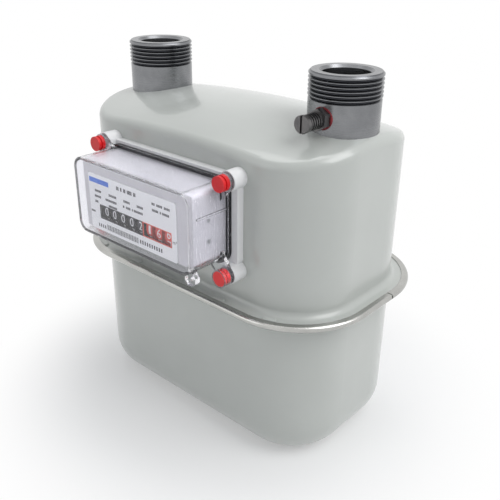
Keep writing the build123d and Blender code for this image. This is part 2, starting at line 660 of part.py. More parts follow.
def cover_ear(x, z):
    """Web in front of a lug that joins one sleeve to the corner of the hood."""
    sx, sz = math.copysign(1, x - INDEX_X), math.copysign(1, z - INDEX_Z)
    root_x = INDEX_X + sx * (COVER_WIDTH / 2 - COVER_CORNER)
    root_z = INDEX_Z + sz * (COVER_HEIGHT / 2 - COVER_CORNER)
    plane = Plane(origin=(0, LUG_FRONT_Y, 0), x_dir=(1, 0, 0), z_dir=(0, -1, 0))
    circles = [Pos(x, z) * Circle(SLEEVE_RADIUS), Pos(root_x, root_z) * Circle(COVER_CORNER)]
    outline = make_hull([edge for circle in circles for edge in circle.edges()])
    return extrude(plane * outline, COVER_FLANGE_THICKNESS)


def index_cover():
    """Clear hood with a back flange, four screw sleeves, a side rib and a sealing eye."""
    body = front_slab(
        INDEX_X, INDEX_Z, COVER_WIDTH, COVER_HEIGHT, COVER_CORNER, COVER_FRONT_Y, COVER_BACK_Y
    )
    body = fillet(body.faces().sort_by(Axis.Y)[0].edges(), COVER_EDGE)
    flange_front = COVER_BACK_Y - COVER_FLANGE_THICKNESS
    body += front_slab(
        INDEX_X,
        INDEX_Z,
        COVER_WIDTH + 2 * COVER_FLANGE,
        COVER_HEIGHT + 2 * COVER_FLANGE,
        COVER_CORNER + COVER_FLANGE,
        flange_front,
        COVER_BACK_Y,
    )
    for x, z in PLUG_PLACES:
        body -= rod(LUG_RADIUS + LUG_CLEARANCE, (x, COVER_BACK_Y, z), (x, LUG_FRONT_Y, z))
    eye_x = INDEX_X + COVER_WIDTH / 2 - SEAL_EYE_INSET
    eye_z = INDEX_Z - COVER_HEIGHT / 2 - SEAL_EYE_RADIUS + SEAL_EYE_OVERLAP
    eye_y = COVER_FRONT_Y + SEAL_EYE_INSET
    body += rod(SEAL_EYE_RADIUS, (eye_x, eye_y + SEAL_EYE_THICKNESS, eye_z), (eye_x, eye_y, eye_z))
    stem = block(eye_x - 2, eye_x + 2, eye_y, eye_y + SEAL_EYE_THICKNESS, eye_z, eye_z + SEAL_EYE_RADIUS + 3)
    body += stem
    for x, z in PLUG_PLACES:
        body += rod(SLEEVE_RADIUS, (x, LUG_FRONT_Y, z), (x, SLEEVE_FRONT_Y, z))
        body += cover_ear(x, z)
    rib_z = INDEX_Z + RIB_RISE
    rib_x = INDEX_X + COVER_WIDTH / 2
    body += block(
        rib_x - COVER_WALL / 4,
        rib_x + RIB_PROUD,
        COVER_FRONT_Y + RIB_START,
        flange_front,
        rib_z - RIB_WIDTH / 2,
        rib_z + RIB_WIDTH / 2,
    )
    body -= front_slab(
        INDEX_X,
        INDEX_Z,
        COVER_WIDTH - 2 * COVER_WALL,
        COVER_HEIGHT - 2 * COVER_WALL,
        COVER_CORNER - COVER_WALL,
        COVER_FRONT_Y + COVER_WALL,
        COVER_BACK_Y,
    )
    body -= rod(SEAL_EYE_HOLE, (eye_x, eye_y + 10, eye_z), (eye_x, eye_y - 10, eye_z))
    seat_y = LUG_FRONT_Y - SLEEVE_FLOOR
    for x, z in PLUG_PLACES:
        body -= rod(SLEEVE_BORE, (x, seat_y, z), (x, SLEEVE_FRONT_Y, z))
        body -= rod(COVER_SCREW_RADIUS + 0.2, (x, LUG_FRONT_Y, z), (x, seat_y, z))
    return body


def cover_screws():
    """Four screws at the bottom of the sleeves, into the frame's lugs."""
    seat_y = LUG_FRONT_Y - SLEEVE_FLOOR
    head_y = seat_y - COVER_SCREW_HEAD_LENGTH
    tip_y = LUG_FRONT_Y + COVER_SCREW_DEPTH
    screws = []
    for x, z in PLUG_PLACES:
        screw = rod(COVER_SCREW_HEAD, (x, seat_y, z), (x, head_y, z))
        screw += rod(COVER_SCREW_RADIUS, (x, tip_y, z), (x, seat_y, z))
        screw -= block(x - 2.2, x + 2.2, head_y - 1, head_y + 1, z - 0.4, z + 0.4)
        screw -= block(x - 0.4, x + 0.4, head_y - 1, head_y + 1, z - 2.2, z + 2.2)
        screws.append(screw)
    return Compound(screws)


def seal_plugs():
    """Four red plugs, cup shaped and grooved, in the mouths of the sleeves."""
    front = SLEEVE_FRONT_Y + PLUG_RECESS
    back = front + PLUG_LENGTH
    groove = front + PLUG_DISC
    neck = PLUG_RADIUS - PLUG_GROOVE_DEPTH
    plugs = []
    for x, z in PLUG_PLACES:
        plug = rod(PLUG_RADIUS, (x, back, z), (x, front, z))
        ring = rod(PLUG_RADIUS + 1, (x, groove + PLUG_GROOVE, z), (x, groove, z))
        plug -= ring - rod(neck, (x, back, z), (x, front, z))
        plug -= rod(neck - PLUG_WALL, (x, back, z), (x, groove, z))
        plug -= rod(PLUG_RADIUS - PLUG_WALL, (x, back, z), (x, groove + PLUG_GROOVE + PLUG_SHOULDER, z))
        plugs.append(plug)
    return Compound(plugs)


def index_housing():
    """Open frame on the floor of the base; its side walls carry the two axles."""
    body = front_slab(
        INDEX_X,
        INDEX_Z,
        HOUSING_WIDTH,
        HOUSING_HEIGHT,
        2.0,
        HOUSING_FRONT_Y,
        WALL_Y - BASE_FLOOR,
    )
    body -= front_slab(
        INDEX_X,
        INDEX_Z,
        HOUSING_WIDTH - 2 * HOUSING_WALL,
        HOUSING_HEIGHT - 2 * HOUSING_WALL,
        1.0,
        HOUSING_FRONT_Y,
        WALL_Y - BASE_FLOOR,
    )
    left, right = INDEX_X - HOUSING_WIDTH / 2, INDEX_X + HOUSING_WIDTH / 2
    body -= rod(DRUM_AXLE_RADIUS + 0.02, (left, DRUM_Y, DRUM_Z), (right, DRUM_Y, DRUM_Z))
    body -= rod(PINION_AXLE_RADIUS + 0.02, (left, DRUM_Y, PINION_AXLE_Z), (right, DRUM_Y, PINION_AXLE_Z))
    return body


def dial_plate():
    """White plate with a window for the drums, held on the front of the housing."""
    z = (DIAL_BOTTOM_Z + DIAL_TOP_Z) / 2
    plate = front_slab(
        DIAL_X, z, DIAL_WIDTH, DIAL_TOP_Z - DIAL_BOTTOM_Z, 1.5, DIAL_Y, DIAL_Y + DIAL_THICKNESS
    )
    span = DRUM_PITCH * DRUMS / 2
    plate -= block(
        WINDOW_X - span,
        WINDOW_X + span,
        DIAL_Y - 1,
        DIAL_Y + 5,
        DRUM_Z - WINDOW_HEIGHT / 2,
        DRUM_Z + WINDOW_HEIGHT / 2,
    )
    return plate


def axle(radius, z):
    left = INDEX_X - HOUSING_WIDTH / 2
    right = INDEX_X + HOUSING_WIDTH / 2
    return rod(radius, (left, DRUM_Y, z), (right, DRUM_Y, z))


# --------------------------------------------------------- number drums
DRUM_TOOTH_DEG = 90.0
PINION_TOOTH_DEG = meshed_phase(DRUM_GEAR_TEETH, DRUM_TOOTH_DEG, 90, TRANSFER_TEETH)
INPUT_TOOTH_DEG = 90.0
JACK_TOOTH_DEG = meshed_phase(INPUT_GEAR_TEETH, INPUT_TOOTH_DEG, 90, JACK_PINION_TEETH)


def number_drum(k):
    """Drum k, the first being the fastest at the right-hand end."""
    x = FIRST_DRUM_X - k * DRUM_PITCH
    left, right = x - DRUM_WIDTH / 2, x + DRUM_WIDTH / 2
    rim = rod(DRUM_RADIUS, (left, DRUM_Y, DRUM_Z), (right, DRUM_Y, DRUM_Z))
    if k == 0:
        gear = gear_x(
            INPUT_GEAR_TEETH,
            INPUT_MODULE,
            INPUT_TOOTH_DEG,
            DRUM_Y,
            DRUM_Z,
            right,
            right + INPUT_GEAR_WIDTH,
            DRUM_AXLE_RADIUS + FIT_CLEARANCE,
        )
    else:
        gear = gear_x(
            DRUM_GEAR_TEETH,
            TRANSFER_MODULE,
            DRUM_TOOTH_DEG,
            DRUM_Y,
            DRUM_Z,
            right,
            right + DRUM_GEAR_WIDTH,
            DRUM_AXLE_RADIUS + FIT_CLEARANCE,
        )
    drum = rim + gear
    if k < DRUMS - 1:
        drum += rod(LOCK_DISC_RADIUS, (left - LOCK_DISC_WIDTH, DRUM_Y, DRUM_Z), (left, DRUM_Y, DRUM_Z))
    bore = DRUM_AXLE_RADIUS + FIT_CLEARANCE
    return drum - rod(bore, (x - DRUM_PITCH, DRUM_Y, DRUM_Z), (x + DRUM_PITCH, DRUM_Y, DRUM_Z))


def transfer_pinion(k):
    """Pinion that carries from drum k to drum k + 1."""
    right = FIRST_DRUM_X - k * DRUM_PITCH - DRUM_WIDTH / 2
    left = right - (DRUM_PITCH - DRUM_WIDTH)
    return gear_x(
        TRANSFER_TEETH,
        TRANSFER_MODULE,
        PINION_TOOTH_DEG,
        DRUM_Y,
        PINION_AXLE_Z,
        left + TRANSFER_END_GAP,
        right - TRANSFER_END_GAP,
        PINION_AXLE_RADIUS + FIT_CLEARANCE,
    )


# ---------------------------------------------------------- drive train
CONTRATE_RADIUS = CONTRATE_TEETH * CONTRATE_MODULE / 2
CONTRATE_OUTER = CONTRATE_RADIUS + 0.8
INDEX_PINION_RADIUS = INDEX_PINION_TEETH * CONTRATE_MODULE / 2
CONTRATE_ROOT_X = DRIVE_X + INDEX_PINION_RADIUS + DEDENDUM * CONTRATE_MODULE
JACK_LEFT_X = FIRST_DRUM_X + DRUM_WIDTH / 2 + 0.2
INDEX_PINION_DEG = 0.0


def contrate_wheel():
    """Face-toothed wheel with a pinion, loose on the upper axle; it turns the drive sideways."""
    disc = rod(
        CONTRATE_OUTER,
        (CONTRATE_ROOT_X, DRUM_Y, PINION_AXLE_Z),
        (CONTRATE_ROOT_X + CONTRATE_DISC, DRUM_Y, PINION_AXLE_Z),
    )
    half_pitch = 180 / CONTRATE_TEETH
    teeth = face_teeth(
        CONTRATE_TEETH, CONTRATE_MODULE, CONTRATE_OUTER - CONTRATE_FACE, CONTRATE_OUTER, half_pitch
    )
    place = Plane(
        origin=(CONTRATE_ROOT_X, DRUM_Y, PINION_AXLE_Z), x_dir=(0, 1, 0), z_dir=(-1, 0, 0)
    )
    wheel = disc + [place * tooth for tooth in teeth]
    pinion_end = JACK_LEFT_X + INPUT_GEAR_WIDTH + 0.4
    wheel += gear_x(
        JACK_PINION_TEETH,
        INPUT_MODULE,
        JACK_TOOTH_DEG,
        DRUM_Y,
        PINION_AXLE_Z,
        JACK_LEFT_X,
        pinion_end,
        PINION_AXLE_RADIUS + FIT_CLEARANCE,
    )
    wheel += rod(2.2, (pinion_end, DRUM_Y, PINION_AXLE_Z), (CONTRATE_ROOT_X, DRUM_Y, PINION_AXLE_Z))
    bore = PINION_AXLE_RADIUS + FIT_CLEARANCE
    return wheel - rod(bore, (JACK_LEFT_X - 1, DRUM_Y, PINION_AXLE_Z), (60, DRUM_Y, PINION_AXLE_Z))


INDEX_PINION_FRONT = DRUM_Y + CONTRATE_OUTER - CONTRATE_FACE
INDEX_PINION_BACK = DRUM_Y + CONTRATE_OUTER + 0.6


def drive_shaft():
    """Shaft through the front wall, with the index pinion cut on its outer end."""
    shaft = rod(
        DRIVE_SHAFT_RADIUS,
        (DRIVE_X, BRACKET_REAR_Y + BRACKET_SHEET + 1, PINION_AXLE_Z),
        (DRIVE_X, INDEX_PINION_BACK, PINION_AXLE_Z),
    )
    shaft += gear_y(
        INDEX_PINION_TEETH,
        CONTRATE_MODULE,
        INDEX_PINION_DEG,
        DRIVE_X,
        PINION_AXLE_Z,
        INDEX_PINION_FRONT,
        INDEX_PINION_BACK,
        0.01,
    )
    return shaft


def drive_bush():
    """Flanged bush that carries the shaft through the front wall of the case."""
    back_y = BRACKET_FRONT_Y - 0.3
    inner = WALL_Y - BASE_FLOOR - BUSH_FLANGE
    body = rod(BUSH_RADIUS, (DRIVE_X, back_y, PINION_AXLE_Z), (DRIVE_X, inner, PINION_AXLE_Z))
    body += rod(
        BUSH_FLANGE_RADIUS,
        (DRIVE_X, WALL_Y, PINION_AXLE_Z),
        (DRIVE_X, WALL_Y - BUSH_FLANGE, PINION_AXLE_Z),
    )
    bore = DRIVE_SHAFT_RADIUS + FIT_CLEARANCE
    return body - rod(bore, (DRIVE_X, back_y + 1, PINION_AXLE_Z), (DRIVE_X, inner - 1, PINION_AXLE_Z))


TRAIN_BACK = TRAIN_Y + TRAIN_WIDTH
LAY_IDLER = TRAIN_MODULE * (LAY_PINION_TEETH + IDLER_TEETH) / 2
IDLER_DRIVE = TRAIN_MODULE * (IDLER_TEETH + DRIVE_GEAR_TEETH) / 2
LAY_DRIVE = math.hypot(DRIVE_X, PINION_AXLE_Z - LAYSHAFT_Z)
LAY_DRIVE_DEG = math.degrees(math.atan2(PINION_AXLE_Z - LAYSHAFT_Z, DRIVE_X))
IDLER_SWING = math.degrees(
    math.acos((LAY_IDLER**2 + LAY_DRIVE**2 - IDLER_DRIVE**2) / (2 * LAY_IDLER * LAY_DRIVE))
)
IDLER_DEG = LAY_DRIVE_DEG - IDLER_SWING
IDLER_X = LAY_IDLER * math.cos(math.radians(IDLER_DEG))
IDLER_Z = LAYSHAFT_Z + LAY_IDLER * math.sin(math.radians(IDLER_DEG))
IDLER_TO_DRIVE_DEG = math.degrees(math.atan2(PINION_AXLE_Z - IDLER_Z, DRIVE_X - IDLER_X))
LAY_TOOTH_DEG = -90.0         # a tooth points down into the crown gear
IDLER_TOOTH_DEG = meshed_phase(LAY_PINION_TEETH, LAY_TOOTH_DEG, IDLER_DEG, IDLER_TEETH)
DRIVE_TOOTH_DEG = meshed_phase(IDLER_TEETH, IDLER_TOOTH_DEG, IDLER_TO_DRIVE_DEG, DRIVE_GEAR_TEETH)


def drive_gear():
    bore = DRIVE_SHAFT_RADIUS + 0.02
    gear = gear_y(
        DRIVE_GEAR_TEETH, TRAIN_MODULE, DRIVE_TOOTH_DEG, DRIVE_X, PINION_AXLE_Z, TRAIN_Y, TRAIN_BACK, bore
    )
    hub = rod(4.0, (DRIVE_X, TRAIN_BACK + 2, PINION_AXLE_Z), (DRIVE_X, TRAIN_BACK, PINION_AXLE_Z))
    hub -= rod(bore, (DRIVE_X, TRAIN_BACK + 3, PINION_AXLE_Z), (DRIVE_X, TRAIN_BACK - 1, PINION_AXLE_Z))
    return gear + hub


def idler_gear():
    bore = IDLER_AXLE_RADIUS + FIT_CLEARANCE
    return gear_y(IDLER_TEETH, TRAIN_MODULE, IDLER_TOOTH_DEG, IDLER_X, IDLER_Z, TRAIN_Y, TRAIN_BACK, bore)


CROWN_OUTER = CROWN_PITCH_RADIUS + CROWN_FACE / 2


def layshaft():
    inner_end = -(CROWN_OUTER - CROWN_FACE - 1.5)
    outer_end = BRACKET_FRONT_Y - 1.5
    return rod(DRIVE_SHAFT_RADIUS, (0, inner_end, LAYSHAFT_Z), (0, outer_end, LAYSHAFT_Z))


def layshaft_pinions():
    """Two equal pinions: one over the crown gear, one in the train."""
    bore = DRIVE_SHAFT_RADIUS + 0.02
    inner = gear_y(
        LAY_PINION_TEETH,
        TRAIN_MODULE,
        LAY_TOOTH_DEG,
        0,
        LAYSHAFT_Z,
        -CROWN_OUTER - 0.2,
        -CROWN_OUTER + CROWN_FACE,
        bore,
    )
    outer = gear_y(
        LAY_PINION_TEETH, TRAIN_MODULE, LAY_TOOTH_DEG, 0, LAYSHAFT_Z, TRAIN_Y, TRAIN_BACK, bore
    )
    return Compound([inner, outer])


def bracket_plate(y_front):
    """One cheek of the gear bracket, outlined round its bearings and its foot."""
    spots = [
        (0, LAYSHAFT_Z, 6.0),
        (IDLER_X, IDLER_Z, 6.0),
        (DRIVE_X, PINION_AXLE_Z, 7.0),
        (-4, SEAT_TOP_Z + 4.0, 4.0),
        (20, SEAT_TOP_Z + 4.0, 4.0),
    ]
    plane = Plane(origin=(0, y_front + BRACKET_SHEET, 0), x_dir=(1, 0, 0), z_dir=(0, -1, 0))
    circles = [Pos(x, z) * Circle(r) for x, z, r in spots]
    outline = make_hull([edge for circle in circles for edge in circle.edges()])
    return extrude(plane * outline, BRACKET_SHEET)


def gear_bracket():
    """Two cheeks on a foot that stands on the measuring unit, with the idler's fixed axle."""
    body = bracket_plate(BRACKET_FRONT_Y) + bracket_plate(BRACKET_REAR_Y)
    body += block(
        BRACKET_FOOT_LEFT,
        BRACKET_FOOT_RIGHT,
        BRACKET_FRONT_Y,
        BRACKET_REAR_Y + BRACKET_SHEET,
        SEAT_TOP_Z,
        SEAT_TOP_Z + BRACKET_SHEET,
    )
    body += block(
        BRACKET_FOOT_LEFT,
        BRACKET_FOOT_RIGHT,
        BRACKET_REAR_Y - BRACKET_FOOT_DEPTH,
        BRACKET_REAR_Y + BRACKET_SHEET,
        UNIT_TOP_Z,
        SEAT_TOP_Z + BRACKET_SHEET,
    )
    running = DRIVE_SHAFT_RADIUS + FIT_CLEARANCE
    body -= rod(running, (0, BRACKET_FRONT_Y - 1, LAYSHAFT_Z), (0, BRACKET_REAR_Y + 5, LAYSHAFT_Z))
    body -= rod(
        running, (DRIVE_X, BRACKET_FRONT_Y - 1, PINION_AXLE_Z), (DRIVE_X, BRACKET_REAR_Y + 5, PINION_AXLE_Z)
    )
    return body + rod(
        IDLER_AXLE_RADIUS, (IDLER_X, BRACKET_FRONT_Y, IDLER_Z), (IDLER_X, BRACKET_REAR_Y + 0.5, IDLER_Z)
    )


# ------------------------------------------------------- measuring unit
SCREW_PLACES = [
    (sx * (UNIT_LENGTH / 2 - 5.5), UNIT_MID_Z + sz * (UNIT_HEIGHT / 2 - 5.5))
    for sx in (-1, 1)
    for sz in (-1, 1)
]


def side_slab(side, width, height, corner, y0, y1):
    """Prism between two distances from the middle plane, on the front (-1) or rear (+1)."""
    low, high = sorted((side * y0, side * y1))
    return front_slab(0, UNIT_MID_Z, width, height, corner, low, high)


def chamber_body():
    """Block with a pocket on each side of a thin partition, and four feet."""
    body = block(
        -UNIT_LENGTH / 2,
        UNIT_LENGTH / 2,
        -BODY_HALF_DEPTH,
        BODY_HALF_DEPTH,
        UNIT_BOTTOM_Z,
        UNIT_TOP_Z,
    )
    for side in (-1, 1):
        body -= side_slab(side, POCKET_LENGTH, POCKET_HEIGHT, POCKET_CORNER, PARTITION / 2, BODY_HALF_DEPTH)
        rod_y = side * ROD_Y
        body -= rod(
            ROD_RADIUS + FIT_CLEARANCE, (ROD_X, rod_y, UNIT_BOTTOM_Z + 2.0), (ROD_X, rod_y, UNIT_TOP_Z)
        )
        for x, z in SCREW_PLACES:
            depth = side * (BODY_HALF_DEPTH - UNIT_SCREW_LENGTH)
            body -= rod(UNIT_SCREW_RADIUS + FIT_CLEARANCE, (x, side * BODY_HALF_DEPTH, z), (x, depth, z))
        for x in (-FOOT_DX, FOOT_DX):
            body += rod(FOOT_RADIUS, (x, side * FOOT_DY, SHEET), (x, side * FOOT_DY, UNIT_BOTTOM_Z))
    return body


def chamber_covers():
    """Two flanged pans, one over each diaphragm."""
    covers = []
    y0 = BODY_HALF_DEPTH + MEMBRANE
    outer_length = POCKET_LENGTH + 2 * COVER_PAN_WALL
    outer_height = POCKET_HEIGHT + 2 * COVER_PAN_WALL
    for side in (-1, 1):
        cover = side_slab(side, UNIT_LENGTH, UNIT_HEIGHT, 3.0, y0, y0 + COVER_PAN_FLANGE)
        cover += side_slab(
            side, outer_length, outer_height, POCKET_CORNER + COVER_PAN_WALL, y0, y0 + COVER_PAN_DEPTH
        )
        cover -= side_slab(
            side, POCKET_LENGTH, POCKET_HEIGHT, POCKET_CORNER, y0, y0 + COVER_PAN_DEPTH - COVER_PAN_WALL
        )
        for x, z in SCREW_PLACES:
            cover -= rod(UNIT_SCREW_RADIUS + 0.2, (x, side * y0, z), (x, side * (y0 + 5), z))
        covers.append(cover)
    return Compound(covers)


def unit_screws():
    """Eight screws that clamp the pans and the diaphragms to the chamber body."""
    screws = []
    seat = BODY_HALF_DEPTH + MEMBRANE + COVER_PAN_FLANGE
    for side in (-1, 1):
        for x, z in SCREW_PLACES:
            tip = side * (BODY_HALF_DEPTH - UNIT_SCREW_LENGTH + 0.5)
            screw = rod(UNIT_SCREW_RADIUS, (x, tip, z), (x, side * seat, z))
            end = side * (seat + UNIT_SCREW_HEAD_LENGTH)
            screw += rod(UNIT_SCREW_HEAD, (x, side * seat, z), (x, end, z))
            screws.append(screw)
    return Compound(screws)


def diaphragm(side):
    """Flexible ring from the clamped rim to the edge of its plate."""
    rim = side_slab(side, UNIT_LENGTH, UNIT_HEIGHT, 3.0, BODY_HALF_DEPTH, BODY_HALF_DEPTH + MEMBRANE)
    opening = MEMBRANE_LIP + 2 * MEMBRANE
    rim -= side_slab(
        side,
        POCKET_LENGTH - 2 * opening,
        POCKET_HEIGHT - 2 * opening,
        POCKET_CORNER - opening,
        BODY_HALF_DEPTH,
        BODY_HALF_DEPTH + MEMBRANE,
    )
    for x, z in SCREW_PLACES:
        rim -= rod(UNIT_SCREW_RADIUS + 0.2, (x, side * 10, z), (x, side * 30, z))
    cones = []
    for skin in (0, MEMBRANE):
        inset = MEMBRANE_LIP + skin
        wide = front_outline(side * MEMBRANE_Y, POCKET_LENGTH, POCKET_HEIGHT, POCKET_CORNER, -inset)
        grow = PLATE_CLEARANCE + MEMBRANE - skin
        narrow = front_outline(side * PLATE_Y, PLATE_LENGTH, PLATE_HEIGHT, PLATE_CORNER, grow)
        cones.append(loft([wide, narrow]))
    return rim + (cones[0] - cones[1])


def front_outline(y, length, height, corner, grow):
    """Rounded rectangle in an XZ plane, grown by an amount."""
    plane = Plane(origin=(0, y, UNIT_MID_Z), x_dir=(1, 0, 0), z_dir=(0, -1, 0))
    return plane * RectangleRounded(length + 2 * grow, height + 2 * grow, corner + grow)


def diaphragm_plate(side):
    """Stiff plate in the middle of a diaphragm, with a slotted fork for the flag."""
    half = PLATE_THICKNESS / 2
    plate = side_slab(side, PLATE_LENGTH, PLATE_HEIGHT, PLATE_CORNER, PLATE_Y - half, PLATE_Y + half)
    pin_y = PLATE_Y - FLAG_PIN_OFFSET
    slot = FLAG_PIN_RADIUS + FORK_CLEARANCE
    tip_x = ROD_X + FLAG_LENGTH
    ear_y0 = side * (PLATE_Y - half + 0.1)
    ear_y1 = side * (pin_y - slot - 1.0)
    y_low, y_high = sorted((ear_y0, ear_y1))
    slot_low, slot_high = sorted((side * (pin_y - slot), side * (pin_y + slot)))
    for sz in (-1, 1):
        near = UNIT_MID_Z + sz * (FLAG_SPREAD / 2 + 0.5)
        far = near + sz * FORK_THICKNESS
        z0, z1 = sorted((near, far))
        ear = block(tip_x - FORK_SLOT - 1, tip_x + 3.5, y_low, y_high, z0, z1)
        ear -= block(tip_x - FORK_SLOT + 0.5, tip_x + 2.0, slot_low, slot_high, z0 - 1, z1 + 1)
        plate += ear
    return plate


# --------------------------------------------------------------- linkage
def rod_end(side, length, angle_deg):
    """Point at a distance from a flag rod; angles are those of the front side."""
    angle = math.radians(angle_deg)
    return ROD_X + length * math.cos(angle), side * (ROD_Y - length * math.sin(angle))


def flag_rod(side):
    """Upright rod with the flag that pushes its diaphragm plate."""
    rod_y = side * ROD_Y
    top = LINK_Z + LINK_THICKNESS + 2.5
    body = rod(ROD_RADIUS, (ROD_X, rod_y, UNIT_BOTTOM_Z + 2.3), (ROD_X, rod_y, top))
    tip_x, tip_y = rod_end(side, FLAG_LENGTH, FLAG_REST_DEG)
    angle = math.degrees(math.atan2(tip_y - rod_y, tip_x - ROD_X))
    place = Pos(ROD_X, rod_y, UNIT_MID_Z) * Rot(0, 0, angle)
    low, high = -FLAG_SPREAD / 2, FLAG_SPREAD / 2
    for z in (low, high - FLAG_ARM_HEIGHT):
        arm = block(0, FLAG_LENGTH, -FLAG_THICKNESS / 2, FLAG_THICKNESS / 2, z, z + FLAG_ARM_HEIGHT)
        body += place * arm
    body += place * rod(3.4, (0, 0, low), (0, 0, high))
    reach = 0.5 + FORK_THICKNESS + 0.8
    body += place * rod(FLAG_PIN_RADIUS, (FLAG_LENGTH, 0, low - reach), (FLAG_LENGTH, 0, high + reach))
    return body


def link_level(side):
    """Underside of a link; the rear link runs over the front one at the crank."""
    return LINK_Z + (0 if side < 0 else LINK_THICKNESS + OPEN_PIVOT_GAP)


def flag_arm(side):
    """Arm clamped on the top of a flag rod, with the pin for its link."""
    top = link_level(side) - OPEN_PIVOT_GAP
    low = top - ARM_THICKNESS
    rod_y = side * ROD_Y
    end_x, end_y = rod_end(side, ARM_LENGTH, ARM_REST_DEG)
    angle = math.degrees(math.atan2(end_y - rod_y, end_x - ROD_X))
    bar = block(0, ARM_LENGTH, -ARM_WIDTH / 2, ARM_WIDTH / 2, low, top)
    arm = Pos(ROD_X, rod_y, 0) * Rot(0, 0, angle) * bar
    arm += rod(4.2, (ROD_X, rod_y, low - 1.5), (ROD_X, rod_y, top))
    arm += rod(ARM_WIDTH / 2 + 0.6, (end_x, end_y, low), (end_x, end_y, top))
    arm += rod(LINK_PIN_RADIUS, (end_x, end_y, low), (end_x, end_y, top + LINK_THICKNESS + 1.0))
    return arm - rod(ROD_RADIUS + 0.02, (ROD_X, rod_y, low - 5), (ROD_X, rod_y, top + 20))


def link(side):
    """Link from a flag arm to the crank, with an eye at each end."""
    z = link_level(side)
    end_x, end_y = rod_end(side, ARM_LENGTH, ARM_REST_DEG)
    length = math.hypot(-CRANK_RADIUS - end_x, end_y)
    angle = math.degrees(math.atan2(-end_y, -CRANK_RADIUS - end_x))
    bar = block(0, length, -LINK_WIDTH / 2, LINK_WIDTH / 2, z, z + LINK_THICKNESS)
    body = Pos(end_x, end_y, 0) * Rot(0, 0, angle) * bar
    top = z + LINK_THICKNESS
    body += rod(LINK_PIN_RADIUS + 1.8, (end_x, end_y, z), (end_x, end_y, top))
    body += rod(CRANK_PIN_RADIUS + 1.8, (-CRANK_RADIUS, 0, z), (-CRANK_RADIUS, 0, top))
    body -= rod(LINK_PIN_RADIUS + FIT_CLEARANCE, (end_x, end_y, z - 1), (end_x, end_y, top + 1))
    hole = CRANK_PIN_RADIUS + FIT_CLEARANCE
    return body - rod(hole, (-CRANK_RADIUS, 0, z - 1), (-CRANK_RADIUS, 0, top + 1))


# -------------------------------------------------------- valve and duct
def ring_sector(inner, outer, degrees, middle_deg):
    """Flat ring sector about the origin."""
    ring = Circle(outer) - Circle(inner)
    start = math.radians(middle_deg - degrees / 2)
    end = math.radians(middle_deg + degrees / 2)
    far = outer * 2
    points = [(0, 0), (far * math.cos(start), far * math.sin(start))]
    middle = math.radians(middle_deg)
    points.append((far * math.cos(middle), far * math.sin(middle)))
    points.append((far * math.cos(end), far * math.sin(end)))
    return ring & make_face(Polyline(*points, close=True))


def valve_seat():
    """Table with four chamber ports, a central exhaust, the outlet channel and the spindle."""
    half = SEAT_DEPTH / 2
    body = block(SEAT_LEFT, CONNECTION_X, -half, half, UNIT_TOP_Z, SEAT_TOP_Z)
    narrow = block(30, CONNECTION_X, -half, half, UNIT_TOP_Z, SEAT_TOP_Z)
    body -= narrow
    body += block(30, CONNECTION_X, -SEAT_END_RADIUS, SEAT_END_RADIUS, UNIT_TOP_Z, SEAT_TOP_Z)
    body += rod(SEAT_END_RADIUS, (CONNECTION_X, 0, UNIT_TOP_Z), (CONNECTION_X, 0, SEAT_TOP_Z))
    ceiling = UNIT_TOP_Z + CHANNEL_HEIGHT
    body -= block(
        -EXHAUST_RADIUS, CONNECTION_X, -CHANNEL_WIDTH / 2, CHANNEL_WIDTH / 2, UNIT_TOP_Z + 1, ceiling
    )
    inner = DUCT_RADIUS - DUCT_WALL
    body -= rod(inner, (CONNECTION_X, 0, UNIT_TOP_Z + 1), (CONNECTION_X, 0, SEAT_TOP_Z))
    exhaust = Circle(EXHAUST_RADIUS + 2.5) - Circle(SPINDLE_RADIUS + 1.5)
    body -= Pos(0, 0, ceiling - 1) * extrude(exhaust, SEAT_THICKNESS)
    for port in range(PORT_COUNT):
        sector = ring_sector(PORT_INNER, PORT_OUTER, PORT_DEGREES, 45 + port * 360 / PORT_COUNT)
        body -= Pos(0, 0, SEAT_TOP_Z - 2.2) * extrude(sector, 5)
    spindle_top = VALVE_TOP_Z + CRANK_DISC_THICKNESS + 0.6
    body += rod(SPINDLE_RADIUS + 1.5, (0, 0, UNIT_TOP_Z), (0, 0, SEAT_TOP_Z))
    return body + rod(SPINDLE_RADIUS, (0, 0, UNIT_TOP_Z + 1), (0, 0, spindle_top))


def rotary_valve():
    """Turning valve: a half-ring cavity joins ports to the exhaust, an open notch feeds the rest."""
    body = rod(VALVE_RADIUS, (0, 0, SEAT_TOP_Z), (0, 0, VALVE_TOP_Z))
    cavity = ring_sector(SPINDLE_RADIUS + 2.0, PORT_OUTER, 120, 0)
    body -= Pos(0, 0, SEAT_TOP_Z) * extrude(cavity, VALVE_THICKNESS - 1.5)
    notch = ring_sector(PORT_INNER, VALVE_RADIUS + 1, 120, 180)
    body -= Pos(0, 0, SEAT_TOP_Z) * extrude(notch, VALVE_THICKNESS - 1.5)
    return body - rod(SPINDLE_RADIUS + FIT_CLEARANCE, (0, 0, SEAT_TOP_Z - 1), (0, 0, VALVE_TOP_Z + 1))


def crank():
    """Crank disc with its pin, carrying the crown gear that drives the index."""
    disc_top = VALVE_TOP_Z + CRANK_DISC_THICKNESS
    body = rod(CRANK_DISC, (0, 0, VALVE_TOP_Z), (0, 0, disc_top))
    body += rod(CROWN_OUTER, (0, 0, VALVE_TOP_Z), (0, 0, CROWN_ROOT_Z))
    half_pitch = 180 / CROWN_TEETH
    teeth = face_teeth(CROWN_TEETH, TRAIN_MODULE, CROWN_OUTER - CROWN_FACE, CROWN_OUTER, 90 + half_pitch)
    body += [Pos(0, 0, CROWN_ROOT_Z) * tooth for tooth in teeth]
    body += rod(CRANK_PIN_RADIUS, (-CRANK_RADIUS, 0, VALVE_TOP_Z), (-CRANK_RADIUS, 0, CRANK_PIN_TOP))
    return body - rod(SPINDLE_RADIUS + FIT_CLEARANCE, (0, 0, VALVE_TOP_Z - 1), (0, 0, disc_top + 1))


